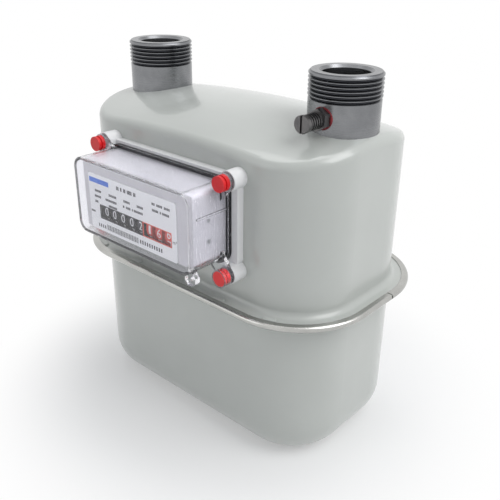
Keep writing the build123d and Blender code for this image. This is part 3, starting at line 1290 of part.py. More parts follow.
DUCT_TOP_Z = CONNECTION_FOOT_Z + DUCT_ENTRY
DUCT_NECK = DUCT_SOCKET - DUCT_SEAL


def outlet_duct():
    """Tube from the valve seat up into the outlet connection, necked at the top."""
    x = CONNECTION_X
    body = rod(DUCT_RADIUS, (x, 0, SEAT_TOP_Z), (x, 0, CONNECTION_FOOT_Z - 4))
    body += rod(DUCT_NECK, (x, 0, CONNECTION_FOOT_Z - 4), (x, 0, DUCT_TOP_Z))
    body -= rod(DUCT_RADIUS - DUCT_WALL, (x, 0, SEAT_TOP_Z), (x, 0, CONNECTION_FOOT_Z - 4 - DUCT_WALL))
    return body - rod(DUCT_NECK - DUCT_WALL, (x, 0, SEAT_TOP_Z), (x, 0, DUCT_TOP_Z + 1))


def duct_seal():
    """Rubber sleeve between the duct neck and the bore of the outlet connection."""
    x = CONNECTION_X
    z0 = CONNECTION_FOOT_Z - 4
    body = rod(DUCT_SOCKET - 0.02, (x, 0, CONNECTION_FOOT_Z), (x, 0, DUCT_TOP_Z))
    body += rod(DUCT_SOCKET + 1.5, (x, 0, z0), (x, 0, CONNECTION_FOOT_Z))
    return body - rod(DUCT_NECK + 0.02, (x, 0, z0 - 1), (x, 0, DUCT_TOP_Z + 1))


# ------------------------------------------------------------ write parts
def main():
    os.makedirs("parts", exist_ok=True)
    save(upper_case(), "upper_case")
    save(lower_case(), "lower_case")
    save(case_gasket(), "case_gasket")
    save(seam_band(), "seam_band")
    save(connection(-CONNECTION_X), "inlet_connection")
    save(outlet_connection(), "outlet_connection")
    save(test_nipple(), "test_nipple")
    save(nipple_washer(), "nipple_washer")
    save(test_screw_seal(), "test_screw_seal")
    save(test_screw(), "test_screw")
    save(index_base(), "index_base")
    save(index_gasket(), "index_gasket")
    save(index_cover(), "index_cover")
    save(cover_screws(), "cover_screws")
    save(seal_plugs(), "seal_plugs")
    save(index_housing(), "index_housing")
    save(dial_plate(), "dial_plate")
    save(axle(DRUM_AXLE_RADIUS, DRUM_Z), "drum_axle")
    save(axle(PINION_AXLE_RADIUS, PINION_AXLE_Z), "pinion_axle")
    for k in range(DRUMS):
        save(number_drum(k), f"number_drum_{k + 1}")
    for k in range(DRUMS - 1):
        save(transfer_pinion(k), f"transfer_pinion_{k + 1}")
    save(contrate_wheel(), "contrate_wheel")
    save(drive_bush(), "drive_bush")
    save(drive_shaft(), "drive_shaft")
    save(drive_gear(), "drive_gear")
    save(idler_gear(), "idler_gear")
    save(layshaft(), "layshaft")
    save(layshaft_pinions(), "layshaft_pinions")
    save(gear_bracket(), "gear_bracket")
    save(chamber_body(), "chamber_body")
    save(chamber_covers(), "chamber_covers")
    save(unit_screws(), "unit_screws")
    for side, name in ((-1, "front"), (1, "rear")):
        save(diaphragm(side), f"{name}_diaphragm")
        save(diaphragm_plate(side), f"{name}_diaphragm_plate")
        save(flag_rod(side), f"{name}_flag_rod")
        save(flag_arm(side), f"{name}_flag_arm")
        save(link(side), f"{name}_link")
    save(valve_seat(), "valve_seat")
    save(rotary_valve(), "rotary_valve")
    save(crank(), "crank")
    save(outlet_duct(), "outlet_duct")
    save(duct_seal(), "duct_seal")


main()
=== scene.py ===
"""Domestic diaphragm gas meter: finishes, printed dial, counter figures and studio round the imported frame."""

import json
import logging
import math
from dataclasses import dataclass, field, replace
from enum import Enum

import bpy
from mathutils import Matrix, Vector


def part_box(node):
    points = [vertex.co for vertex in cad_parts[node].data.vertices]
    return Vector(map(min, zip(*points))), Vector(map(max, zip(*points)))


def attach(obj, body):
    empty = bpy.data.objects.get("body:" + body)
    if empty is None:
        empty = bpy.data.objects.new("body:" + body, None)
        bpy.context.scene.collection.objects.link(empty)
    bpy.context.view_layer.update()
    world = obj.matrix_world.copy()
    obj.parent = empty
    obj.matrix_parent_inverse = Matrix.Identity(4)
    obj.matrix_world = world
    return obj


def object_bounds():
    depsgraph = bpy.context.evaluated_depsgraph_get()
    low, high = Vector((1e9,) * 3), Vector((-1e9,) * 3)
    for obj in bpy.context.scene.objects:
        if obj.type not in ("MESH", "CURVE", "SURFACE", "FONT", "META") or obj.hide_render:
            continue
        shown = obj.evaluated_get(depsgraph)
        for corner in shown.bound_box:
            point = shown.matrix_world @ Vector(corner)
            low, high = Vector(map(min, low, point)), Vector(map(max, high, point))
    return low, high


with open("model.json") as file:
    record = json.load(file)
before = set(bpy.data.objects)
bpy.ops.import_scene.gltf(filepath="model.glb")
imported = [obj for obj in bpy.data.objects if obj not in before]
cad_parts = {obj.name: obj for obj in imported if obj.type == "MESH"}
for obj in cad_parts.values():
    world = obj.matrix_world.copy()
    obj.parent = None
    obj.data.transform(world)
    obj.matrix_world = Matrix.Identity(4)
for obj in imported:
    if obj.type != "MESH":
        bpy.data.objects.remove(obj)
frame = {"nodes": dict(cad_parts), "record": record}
CAD_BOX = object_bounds()

LOG = logging.getLogger("gas_meter")
MM = 0.001
Colour = tuple[float, float, float]
Point = tuple[float, float, float]

FIGURES_PER_DRUM = 10
# Painted shade: the dark grey that the grooves of a thread are darkened towards.
GROOVE_PAINTED_SHADE: Colour = (0.05, 0.052, 0.06)
DUST_TONE: Colour = (0.62, 0.6, 0.56)
SCATTER_DEPTH = 0.003


# ---------------------------------------------------------------- node helpers


class NodeSheet:
    """A node tree with short ways to add, set and join nodes."""

    def __init__(self, tree: bpy.types.NodeTree) -> None:
        """Keeps the tree that the nodes go into."""
        self.tree = tree

    def add(self, kind: str, **settings: object) -> bpy.types.Node:
        """Adds one node.

        Args:
            kind: Blender's name of the node type, without its ShaderNode prefix.
            settings: node properties to set.

        Returns:
            The new node.
        """
        node = self.tree.nodes.new(kind if kind.startswith("Node") else "ShaderNode" + kind)
        for key, value in settings.items():
            setattr(node, key, value)
        return node

    def set(self, node: bpy.types.Node, **values: object) -> bpy.types.Node:
        """Sets input sockets of a node.

        Args:
            node: the node.
            values: socket name, with _ for a space, and its value or the socket that feeds it.

        Returns:
            The same node.
        """
        for key, value in values.items():
            socket = node.inputs[key.replace("_", " ")]
            if isinstance(value, bpy.types.NodeSocket):
                self.tree.links.new(value, socket)
            else:
                socket.default_value = value
        return node

    def math(self, operation: str, first: object, second: object = 0.0) -> bpy.types.NodeSocket:
        """Adds a Math node.

        Args:
            operation: the node's operation.
            first: first number or socket.
            second: second number or socket.

        Returns:
            The result socket.
        """
        node = self.add("Math", operation=operation)
        for index, value in enumerate((first, second)):
            if isinstance(value, bpy.types.NodeSocket):
                self.tree.links.new(value, node.inputs[index])
            else:
                node.inputs[index].default_value = value
        return node.outputs[0]

    def spread(self, value: bpy.types.NodeSocket, low: float, high: float) -> bpy.types.NodeSocket:
        """Maps a mask from 0..1 to low..high.

        Args:
            value: the mask.
            low: result at 0.
            high: result at 1.

        Returns:
            The result socket.
        """
        node = self.add("MapRange")
        self.set(node, Value=value, To_Min=low, To_Max=high)
        return node.outputs["Result"]

    def blend(self, factor: object, first: object, second: object) -> bpy.types.NodeSocket:
        """Mixes two colours.

        Args:
            factor: number or socket.
            first: colour or socket at 0.
            second: colour or socket at 1.

        Returns:
            The mixed colour's socket.
        """
        node = self.add("Mix", data_type="RGBA")
        for index, value in ((0, factor), (6, first), (7, second)):
            if isinstance(value, bpy.types.NodeSocket):
                self.tree.links.new(value, node.inputs[index])
            elif index:
                node.inputs[index].default_value = (*value, 1.0)
            else:
                node.inputs[index].default_value = value
        return node.outputs[2]


class Effects:
    """Surface effects that several finishes share, each built once as a node group."""

    # A face this level is an end face; what lies inside this share of the groove radius is the bore, which the
    # painted groove shade leaves out.
    LEVEL_FACE = 0.95
    BORE_SHARE = 0.8
    # A face starts to gather dust at the first tilt and is fully under it at the second.
    DUST_TILT = (0.3, 1.0)
    # A wall of the hood is frosted below the first share of facing the front, clear above the second.
    WALL_FACING = (0.3, 0.7)
    MOTTLE_EDGES = (0.35, 0.65)

    def __init__(self) -> None:
        """Builds the groups."""
        self.mottle = self._mottle()
        self.grain = self._grain()
        self.rings = self._rings()
        self.dust = self._dust()
        self.sides = self._sides()
        self.grooves = self._grooves()

    @staticmethod
    def _group(name: str, inputs: dict[str, tuple[str, object]], outputs: dict[str, str]) -> tuple:
        """Starts a group.

        Args:
            name: name of the group.
            inputs: socket name to its kind and default.
            outputs: socket name to its kind.

        Returns:
            The group, its sheet, its input node and its output node.
        """
        tree = bpy.data.node_groups.new(name, "ShaderNodeTree")
        for key, (kind, value) in inputs.items():
            socket = tree.interface.new_socket(name=key, in_out="INPUT", socket_type="NodeSocket" + kind)
            socket.default_value = value
        for key, kind in outputs.items():
            tree.interface.new_socket(name=key, in_out="OUTPUT", socket_type="NodeSocket" + kind)
        sheet = NodeSheet(tree)
        return tree, sheet, sheet.add("NodeGroupInput"), sheet.add("NodeGroupOutput")

    def _mottle(self) -> bpy.types.NodeTree:
        """Builds the slow drift between two tones of one colour."""
        tree, sheet, source, sink = self._group(
            "soft_mottle",
            {
                "Base": ("Color", (0.5, 0.5, 0.5, 1)),
                "Shade": ("Color", (0.4, 0.4, 0.4, 1)),
                "Size": ("Float", 0.02),
                "Amount": ("Float", 0.5),
            },
            {"Colour": "Color", "Mask": "Float"},
        )
        place = sheet.add("TexCoord").outputs["Object"]
        scale = sheet.math("DIVIDE", 1.0, source.outputs["Size"])
        noise = sheet.set(sheet.add("TexNoise"), Vector=place, Scale=scale, Detail=4.0, Roughness=0.6)
        mask = sheet.add("MapRange")
        sheet.set(mask, Value=noise.outputs["Fac"])
        sheet.set(mask, From_Min=self.MOTTLE_EDGES[0], From_Max=self.MOTTLE_EDGES[1])
        part = sheet.math("MULTIPLY", mask.outputs["Result"], source.outputs["Amount"])
        colour = sheet.blend(part, source.outputs["Base"], source.outputs["Shade"])
        sheet.set(sink, Colour=colour, Mask=mask.outputs["Result"])
        return tree

    def _grain(self) -> bpy.types.NodeTree:
        """Builds the fine relief of a moulded, cast, rolled or sprayed face."""
        tree, sheet, source, sink = self._group(
            "fine_grain",
            {"Size": ("Float", 0.001), "Stretch": ("Vector", (1, 1, 1)), "Detail": ("Float", 3.0)},
            {"Height": "Float", "Mask": "Float"},
        )
        place = sheet.add("TexCoord").outputs["Object"]
        drawn = sheet.add("VectorMath", operation="DIVIDE")
        sheet.tree.links.new(place, drawn.inputs[0])
        sheet.tree.links.new(source.outputs["Stretch"], drawn.inputs[1])
        scale = sheet.math("DIVIDE", 1.0, source.outputs["Size"])
        noise = sheet.add("TexNoise")
        sheet.set(noise, Vector=drawn.outputs[0], Scale=scale)
        sheet.set(noise, Detail=source.outputs["Detail"], Roughness=0.55)
        sheet.set(sink, Height=noise.outputs["Fac"], Mask=sheet.spread(noise.outputs["Fac"], 0.0, 1.0))
        return tree

    def _rings(self) -> bpy.types.NodeTree:
        """Builds the marks that a lathe leaves round the axis of a turned piece, which lies along Z."""
        tree, sheet, source, sink = self._group(
            "turning_marks",
            {"Vector": ("Vector", (0, 0, 0)), "Pitch": ("Float", 0.0004)},
            {"Height": "Float", "Mask": "Float"},
        )
        parts = sheet.set(sheet.add("SeparateXYZ"), Vector=source.outputs["Vector"])
        flat = sheet.add("CombineXYZ")
        sheet.set(flat, X=parts.outputs["X"], Y=parts.outputs["Y"])
        radius = sheet.add("VectorMath", operation="LENGTH")
        sheet.tree.links.new(flat.outputs[0], radius.inputs[0])
        across = sheet.add("CombineXYZ")
        sheet.set(
            across,
            X=sheet.math("DIVIDE", parts.outputs["Z"], source.outputs["Pitch"]),
            Y=sheet.math("DIVIDE", radius.outputs["Value"], source.outputs["Pitch"]),
        )
        noise = sheet.set(sheet.add("TexNoise"), Vector=across.outputs[0], Scale=1.0, Detail=2.0)
        slow = sheet.set(sheet.add("TexNoise"), Vector=across.outputs[0], Scale=0.13, Detail=1.0)
        mask = sheet.math("MULTIPLY", sheet.math("ADD", noise.outputs["Fac"], slow.outputs["Fac"]), 0.5)
        sheet.set(sink, Height=noise.outputs["Fac"], Mask=mask)
        return tree

    def _dust(self) -> bpy.types.NodeTree:
        """Builds the faint film that settles on faces that look up."""
        tree, sheet, source, sink = self._group("settled_dust", {"Amount": ("Float", 0.2)}, {"Mask": "Float"})
        normal = sheet.set(sheet.add("SeparateXYZ"), Vector=sheet.add("NewGeometry").outputs["Normal"])
        up = sheet.add("MapRange")
        sheet.set(up, Value=normal.outputs["Z"], From_Min=self.DUST_TILT[0], From_Max=self.DUST_TILT[1])
        place = sheet.add("TexCoord").outputs["Object"]
        noise = sheet.set(sheet.add("TexNoise"), Vector=place, Scale=60.0, Detail=5.0)
        patch = sheet.math("MULTIPLY", up.outputs["Result"], noise.outputs["Fac"])
        sheet.set(sink, Mask=sheet.math("MULTIPLY", patch, source.outputs["Amount"]))
        return tree

    def _sides(self) -> bpy.types.NodeTree:
        """Builds the mask of the walls of the hood, which are frosted where its face is clear."""
        tree, sheet, source, sink = self._group(
            "frosted_walls", {"Amount": ("Float", 1.0)}, {"Mask": "Float"}
        )
        normal = sheet.set(sheet.add("SeparateXYZ"), Vector=sheet.add("NewGeometry").outputs["Normal"])
        facing = sheet.math("ABSOLUTE", normal.outputs["Y"])
        wall = sheet.add("MapRange")
        sheet.set(wall, Value=facing, From_Min=self.WALL_FACING[0], From_Max=self.WALL_FACING[1])
        sheet.set(wall, To_Min=1.0, To_Max=0.0)
        sheet.set(sink, Mask=sheet.math("MULTIPLY", wall.outputs["Result"], source.outputs["Amount"]))
        return tree

    def _grooves(self) -> bpy.types.NodeTree:
        """Builds the mask of painted shade that darkens the thread of a piece turned round an axis along Z,
        deepest down.
        """
        tree, sheet, source, sink = self._group(
            "painted_groove_shade",
            {"Vector": ("Vector", (0, 0, 0)), "Deep": ("Float", 0.019), "Proud": ("Float", 0.0205)},
            {"Mask": "Float"},
        )
        parts = sheet.set(sheet.add("SeparateXYZ"), Vector=source.outputs["Vector"])
        flat = sheet.set(sheet.add("CombineXYZ"), X=parts.outputs["X"], Y=parts.outputs["Y"])
        radius = sheet.add("VectorMath", operation="LENGTH")
        sheet.tree.links.new(flat.outputs[0], radius.inputs[0])
        depth = sheet.add("MapRange")
        sheet.set(depth, Value=radius.outputs["Value"], From_Min=source.outputs["Deep"])
        sheet.set(depth, From_Max=source.outputs["Proud"], To_Min=1.0, To_Max=0.0)
        normal = sheet.set(sheet.add("SeparateXYZ"), Vector=sheet.add("NewGeometry").outputs["Normal"])
        level = sheet.math("LESS_THAN", sheet.math("ABSOLUTE", normal.outputs["Z"]), self.LEVEL_FACE)
        bore = sheet.math("MULTIPLY", source.outputs["Deep"], self.BORE_SHARE)
        outer = sheet.math("GREATER_THAN", radius.outputs["Value"], bore)
        outside = sheet.math("MULTIPLY", outer, level)
        sheet.set(sink, Mask=sheet.math("MULTIPLY", depth.outputs["Result"], outside))
        return tree


# ---------------------------------------------------------------- finishes


class Relief(Enum):
    """How the fine relief of a finish runs: its stretch along X, Y and Z, or none for a turned face."""

    MOULDED = (1.0, 1.0, 1.0)
    ROLLED = (14.0, 14.0, 1.0)
    DRAWN = (1.0, 1.0, 16.0)
    TURNED = (0.0, 0.0, 0.0)


@dataclass(frozen=True)
class Finish:
    """An opaque finish: two tones, gloss and relief."""

    colour: Colour
    shade: Colour
    roughness: float
    roughness_spread: float = 0.08
    metallic: float = 0.0
    relief: Relief = Relief.MOULDED
    relief_size: float = 0.0008
    relief_depth: float = 0.00001
    mottle_size: float = 0.02
    mottle_amount: float = 0.6
    coat: float = 0.0
    coat_roughness: float = 0.1
    subsurface: float = 0.0
    dust: float = 0.0
    wave_size: float = 0.0
    wave_depth: float = 0.0
    # Radii between which a turned finish gets painted shade in its grooves, deepest first; none when zero.
    groove: tuple[float, float] = (0.0, 0.0)

    def build(
        self, name: str, effects: Effects, centre: Point = (0, 0, 0), turn: Point = (0, 0, 0)
    ) -> bpy.types.Material:
        """Makes the material.

        Args:
            name: name of the material.
            effects: the shared effect groups.
            centre: for a turned finish, a point on its axis, in metres.
            turn: for a turned finish, the rotation that lays its axis along Z.

        Returns:
            The material.
        """
        material = bpy.data.materials.new(name)
        material.use_nodes = True
        sheet = NodeSheet(material.node_tree)
        shader = material.node_tree.nodes["Principled BSDF"]
        mottle = sheet.add("Group", node_tree=effects.mottle)
        sheet.set(mottle, Base=(*self.colour, 1), Shade=(*self.shade, 1))
        sheet.set(mottle, Size=self.mottle_size, Amount=self.mottle_amount)
        if self.relief is Relief.TURNED:
            relief = sheet.add("Group", node_tree=effects.rings)
            place = sheet.add("TexCoord").outputs["Object"]
            lathe = sheet.add("Mapping", vector_type="TEXTURE")
            sheet.set(lathe, Vector=place, Location=centre, Rotation=turn)
            sheet.set(relief, Vector=lathe.outputs[0], Pitch=self.relief_size)
        else:
            relief = sheet.add("Group", node_tree=effects.grain)
            sheet.set(relief, Size=self.relief_size, Stretch=self.relief.value)
        smoothest = self.roughness - self.roughness_spread
        roughest = self.roughness + self.roughness_spread
        rough = sheet.spread(relief.outputs["Mask"], smoothest, roughest)
        bump = sheet.set(sheet.add("Bump"), Height=relief.outputs["Height"], Strength=1.0)
        sheet.set(bump, Distance=self.relief_depth)
        colour = mottle.outputs["Colour"]
        if self.wave_size:
            wave = sheet.set(sheet.add("Group", node_tree=effects.grain), Size=self.wave_size, Detail=0.0)
            swell = sheet.set(sheet.add("Bump"), Height=wave.outputs["Height"], Strength=1.0)
            sheet.set(swell, Distance=self.wave_depth)
            sheet.set(bump, Normal=swell.outputs["Normal"])
        # Painted shade: darkens the grooves of the thread, fading out towards the crests.
        if self.relief is Relief.TURNED and self.groove[1]:
            groove_shade_node = sheet.add("Group", node_tree=effects.grooves)
            sheet.set(groove_shade_node, Vector=lathe.outputs[0], Deep=self.groove[0], Proud=self.groove[1])
            colour = sheet.blend(groove_shade_node.outputs["Mask"], colour, GROOVE_PAINTED_SHADE)
        if self.dust:
            film = sheet.set(sheet.add("Group", node_tree=effects.dust), Amount=self.dust)
            colour = sheet.blend(film.outputs["Mask"], colour, DUST_TONE)
        sheet.set(shader, Base_Color=colour, Roughness=rough, Normal=bump.outputs["Normal"])
        sheet.set(shader, Metallic=self.metallic, Coat_Weight=self.coat, Coat_Roughness=self.coat_roughness)
        if self.subsurface:
            sheet.set(shader, Subsurface_Weight=self.subsurface, Subsurface_Radius=(SCATTER_DEPTH,) * 3)
        return material


@dataclass(frozen=True)
class ClearFinish:
    """A clear moulding that lets shadows through."""

    tint: Colour
    roughness: float
    frost: float
    relief_size: float = 0.0006
    relief_depth: float = 0.00004
    index: float = 1.3
    haze: float = 0.025
    streaks: Point = (1.0, 1.0, 18.0)
    shadow: Colour = (0.9, 0.9, 0.93)
    shade_share: float = 0.97
    mottle_size: float = 0.012

    def build(self, name: str, effects: Effects) -> bpy.types.Material:
        """Makes the material.

        Args:
            name: name of the material.
            effects: the shared effect groups.

        Returns:
            The material.
        """
        material = bpy.data.materials.new(name)
        material.use_nodes = True
        sheet = NodeSheet(material.node_tree)
        shader = material.node_tree.nodes["Principled BSDF"]
        output = material.node_tree.nodes["Material Output"]
        grain = sheet.add("Group", node_tree=effects.grain)
        sheet.set(grain, Size=self.relief_size, Stretch=self.streaks)
        walls = sheet.set(sheet.add("Group", node_tree=effects.sides), Amount=1.0).outputs["Mask"]
        height = sheet.math("MULTIPLY", grain.outputs["Height"], walls)
        rough = sheet.spread(sheet.math("MULTIPLY", grain.outputs["Mask"], walls), self.roughness, self.frost)
        bump = sheet.set(sheet.add("Bump"), Height=height, Strength=1.0, Distance=self.relief_depth)
        mottle = sheet.add("Group", node_tree=effects.mottle)
        shade = [self.shade_share * part for part in self.tint]
        sheet.set(mottle, Base=(*self.tint, 1), Shade=(*shade, 1), Size=self.mottle_size)
        sheet.set(shader, Base_Color=mottle.outputs["Colour"], Roughness=rough, Normal=bump.outputs["Normal"])
        sheet.set(shader, Transmission_Weight=1.0 - self.haze, IOR=self.index)
        clear = sheet.set(sheet.add("BsdfTransparent"), Color=(*self.shadow, 1))
        mix = sheet.add("MixShader")
        sheet.tree.links.new(sheet.add("LightPath").outputs["Is Shadow Ray"], mix.inputs[0])
        sheet.tree.links.new(shader.outputs[0], mix.inputs[1])
        sheet.tree.links.new(clear.outputs[0], mix.inputs[2])
        sheet.set(output, Surface=mix.outputs[0])
        return material


# Each opaque finish gives its colour, its second tone and its roughness, then what differs from the defaults.
FINISHES: dict[str, Finish | ClearFinish] = {
    "case_paint": Finish(
        colour=(0.50, 0.52, 0.495), shade=(0.475, 0.495, 0.47), roughness=0.3, roughness_spread=0.03,
        relief_size=0.004, relief_depth=0.000004, mottle_size=0.03, mottle_amount=0.5,
        coat=0.6, coat_roughness=0.06, wave_size=0.03, wave_depth=0.0012,
    ),
    "gasket": Finish((0.012, 0.012, 0.02), (0.02, 0.02, 0.03), 0.5, relief_size=0.0005, mottle_size=0.006),
    "stainless": Finish(
        (0.50, 0.50, 0.48), (0.40, 0.40, 0.385), 0.24, metallic=1.0, relief=Relief.ROLLED,
        relief_size=0.0006, relief_depth=0.000006, mottle_size=0.015,
    ),
    "turned_steel": Finish(
        (0.25, 0.255, 0.265), (0.18, 0.185, 0.195), 0.27, roughness_spread=0.1, metallic=1.0,
        relief=Relief.TURNED, relief_size=0.00035, relief_depth=0.000018, mottle_size=0.012,
    ),
    "nipple_steel": Finish(
        (0.16, 0.155, 0.155), (0.10, 0.10, 0.105), 0.3, roughness_spread=0.12, metallic=1.0,
        relief=Relief.TURNED, relief_size=0.0003, relief_depth=0.00002, mottle_size=0.004,
    ),
    "red_washer": Finish((0.22, 0.02, 0.03), (0.3, 0.03, 0.03), 0.5, relief_size=0.0004, mottle_size=0.003),
    "white_plastic": Finish(
        (0.80, 0.80, 0.805), (0.74, 0.74, 0.75), 0.38, relief_size=0.0006, relief_depth=0.000008,
        subsurface=0.08, dust=0.1,
    ),
    "clear_plastic": ClearFinish(tint=(0.955, 0.955, 0.985), roughness=0.01, frost=0.42),
    "red_plastic": Finish(
        (0.74, 0.008, 0.012), (0.66, 0.006, 0.01), 0.35, relief_size=0.0005, relief_depth=0.000006,
        mottle_size=0.003,
    ),
    "zinc": Finish(
        (0.6, 0.61, 0.63), (0.48, 0.49, 0.5), 0.35, metallic=1.0, relief_size=0.0004, mottle_size=0.003,
    ),
    "dial_white": Finish(
        (0.84, 0.85, 0.86), (0.8, 0.81, 0.825), 0.45, relief_size=0.0007, relief_depth=0.000005,
        mottle_size=0.012,
    ),
    "drum_red": Finish((0.68, 0.05, 0.04), (0.58, 0.035, 0.03), 0.4, relief_size=0.0004, mottle_size=0.004),
    "drum_black": Finish(
        (0.012, 0.013, 0.02), (0.02, 0.02, 0.028), 0.45, relief_size=0.0004, mottle_size=0.004,
    ),
    "gear_plastic": Finish((0.82, 0.79, 0.68), (0.76, 0.72, 0.6), 0.45, relief_size=0.0005, subsurface=0.1),
    "brass": Finish(
        (0.75, 0.55, 0.22), (0.62, 0.43, 0.16), 0.28, metallic=1.0, relief=Relief.DRAWN, relief_size=0.0005,
        mottle_size=0.005,
    ),
    "unit_plastic": Finish(
        (0.045, 0.048, 0.052), (0.065, 0.068, 0.072), 0.5, relief_size=0.0006, mottle_size=0.02,
    ),
    "diaphragm_rubber": Finish(
        (0.07, 0.035, 0.022), (0.11, 0.06, 0.04), 0.7, relief_size=0.0004, relief_depth=0.00004,
        mottle_size=0.008,
    ),
    "plate_aluminium": Finish(
        (0.72, 0.72, 0.73), (0.6, 0.6, 0.61), 0.32, metallic=1.0, relief=Relief.ROLLED, relief_size=0.0005,
        mottle_size=0.012,
    ),
    "rod_steel": Finish(
        (0.55, 0.55, 0.56), (0.44, 0.44, 0.45), 0.26, metallic=1.0, relief=Relief.DRAWN, relief_size=0.0005,
        mottle_size=0.006,
    ),
    "valve_plastic": Finish(
        (0.16, 0.085, 0.045), (0.22, 0.12, 0.07), 0.4, relief_size=0.0005, mottle_size=0.008,
    ),
    "print_black": Finish(
        (0.012, 0.013, 0.022), (0.02, 0.02, 0.03), 0.55, relief_size=0.0003, mottle_size=0.002,
    ),
    "print_blue": Finish(
        (0.02, 0.13, 0.62), (0.03, 0.17, 0.66), 0.45, relief_size=0.0003, mottle_size=0.002,
    ),
    "figure_white": Finish(
        (0.82, 0.83, 0.84), (0.74, 0.75, 0.77), 0.45, relief_size=0.0003, mottle_size=0.002,
    ),
    "bezel_grey": Finish(
        (0.58, 0.575, 0.60), (0.53, 0.525, 0.555), 0.5, relief_size=0.0006, mottle_size=0.01,
    ),
    "frame_red": Finish((0.75, 0.10, 0.06), (0.66, 0.07, 0.05), 0.4, relief_size=0.0003, mottle_size=0.004),
}


# ---------------------------------------------------------------- bench tools


class Bench:
    """Modelling operations that every sub-assembly uses."""

    @staticmethod
    def clear() -> None:
        """Leaves nothing selected."""
        for thing in bpy.context.selected_objects:
            thing.select_set(False)

    @staticmethod
    def pick(thing: bpy.types.Object) -> None:
        """Selects one object alone and makes it active.

        Args:
            thing: the object.
        """
        Bench.clear()
        thing.select_set(True)
        bpy.context.view_layer.objects.active = thing

    @staticmethod
    def seat(thing: bpy.types.Object) -> None:
        """Moves an object's place, turn and scale into its mesh."""
        Bench.pick(thing)
        bpy.ops.object.transform_apply(location=True, rotation=True, scale=True)

    @staticmethod
    def join(things: list[bpy.types.Object], name: str) -> bpy.types.Object:
        """Joins meshes into one named object.

        Args:
            things: the objects.
            name: name of the result.

        Returns:
            The joined object.
        """
        Bench.pick(things[0])
        for thing in things:
            thing.select_set(True)
        if len(things) > 1:
            bpy.ops.object.join()
        joined = bpy.context.view_layer.objects.active
        joined.name = name
        joined.data.name = name
        return joined

    @staticmethod
    def dress(thing: bpy.types.Object, material: bpy.types.Material) -> None:
        """Gives an object one material."""
        thing.data.materials.clear()
        thing.data.materials.append(material)

    @staticmethod
    def modify(thing: bpy.types.Object, kind: str, **settings: object) -> None:
        """Adds a modifier and applies it.

        Args:
            thing: the object.
            kind: the modifier's type.
            settings: its settings.
        """
        Bench.pick(thing)
        modifier = thing.modifiers.new(kind.lower(), kind)
        for key, value in settings.items():
            setattr(modifier, key, value)
        bpy.ops.object.modifier_apply(modifier=modifier.name)

    @staticmethod
    def block(name: str, low: Vector, high: Vector, edge: float) -> bpy.types.Object:
        """Models a block with eased edges.

        Args:
            name: name of the block.
            low: lowest corner, in metres.
            high: highest corner, in metres.
            edge: width of the eased edges.

        Returns:
            The block.
        """
        Bench.clear()
        bpy.ops.mesh.primitive_cube_add(size=1, location=(low + high) / 2, scale=high - low)
        thing = bpy.context.active_object
        thing.name = name
        Bench.seat(thing)
        Bench.modify(thing, "BEVEL", width=edge, segments=2, limit_method="ANGLE")
        return thing

    @staticmethod
    def ring_frame(name: str, low: Vector, high: Vector, rail: float, edge: float) -> bpy.types.Object:
        """Models a flat rectangular frame that faces the front.

        Args:
            name: name of the frame.
            low: lowest outer corner, in metres.
            high: highest outer corner, in metres.
            rail: width of its rails.
            edge: width of the eased edges.

        Returns:
            The frame.
        """
        Bench.clear()
        middle = Vector(((low.x + high.x) / 2, low.y, (low.z + high.z) / 2))
        bpy.ops.mesh.primitive_plane_add(size=1, location=middle, rotation=(math.radians(90), 0, 0))
        thing = bpy.context.active_object
        thing.name = name
        thing.scale = (high.x - low.x, high.z - low.z, 1)
        Bench.seat(thing)
        bpy.ops.object.mode_set(mode="EDIT")
        bpy.ops.mesh.select_all(action="SELECT")
        bpy.ops.mesh.inset(thickness=rail)
        bpy.ops.mesh.delete(type="FACE")
        bpy.ops.object.mode_set(mode="OBJECT")
        Bench.modify(thing, "SOLIDIFY", thickness=high.y - low.y, offset=-1)
        Bench.modify(thing, "BEVEL", width=edge, segments=2, limit_method="ANGLE")
        return thing


# ---------------------------------------------------------------- sub-assemblies


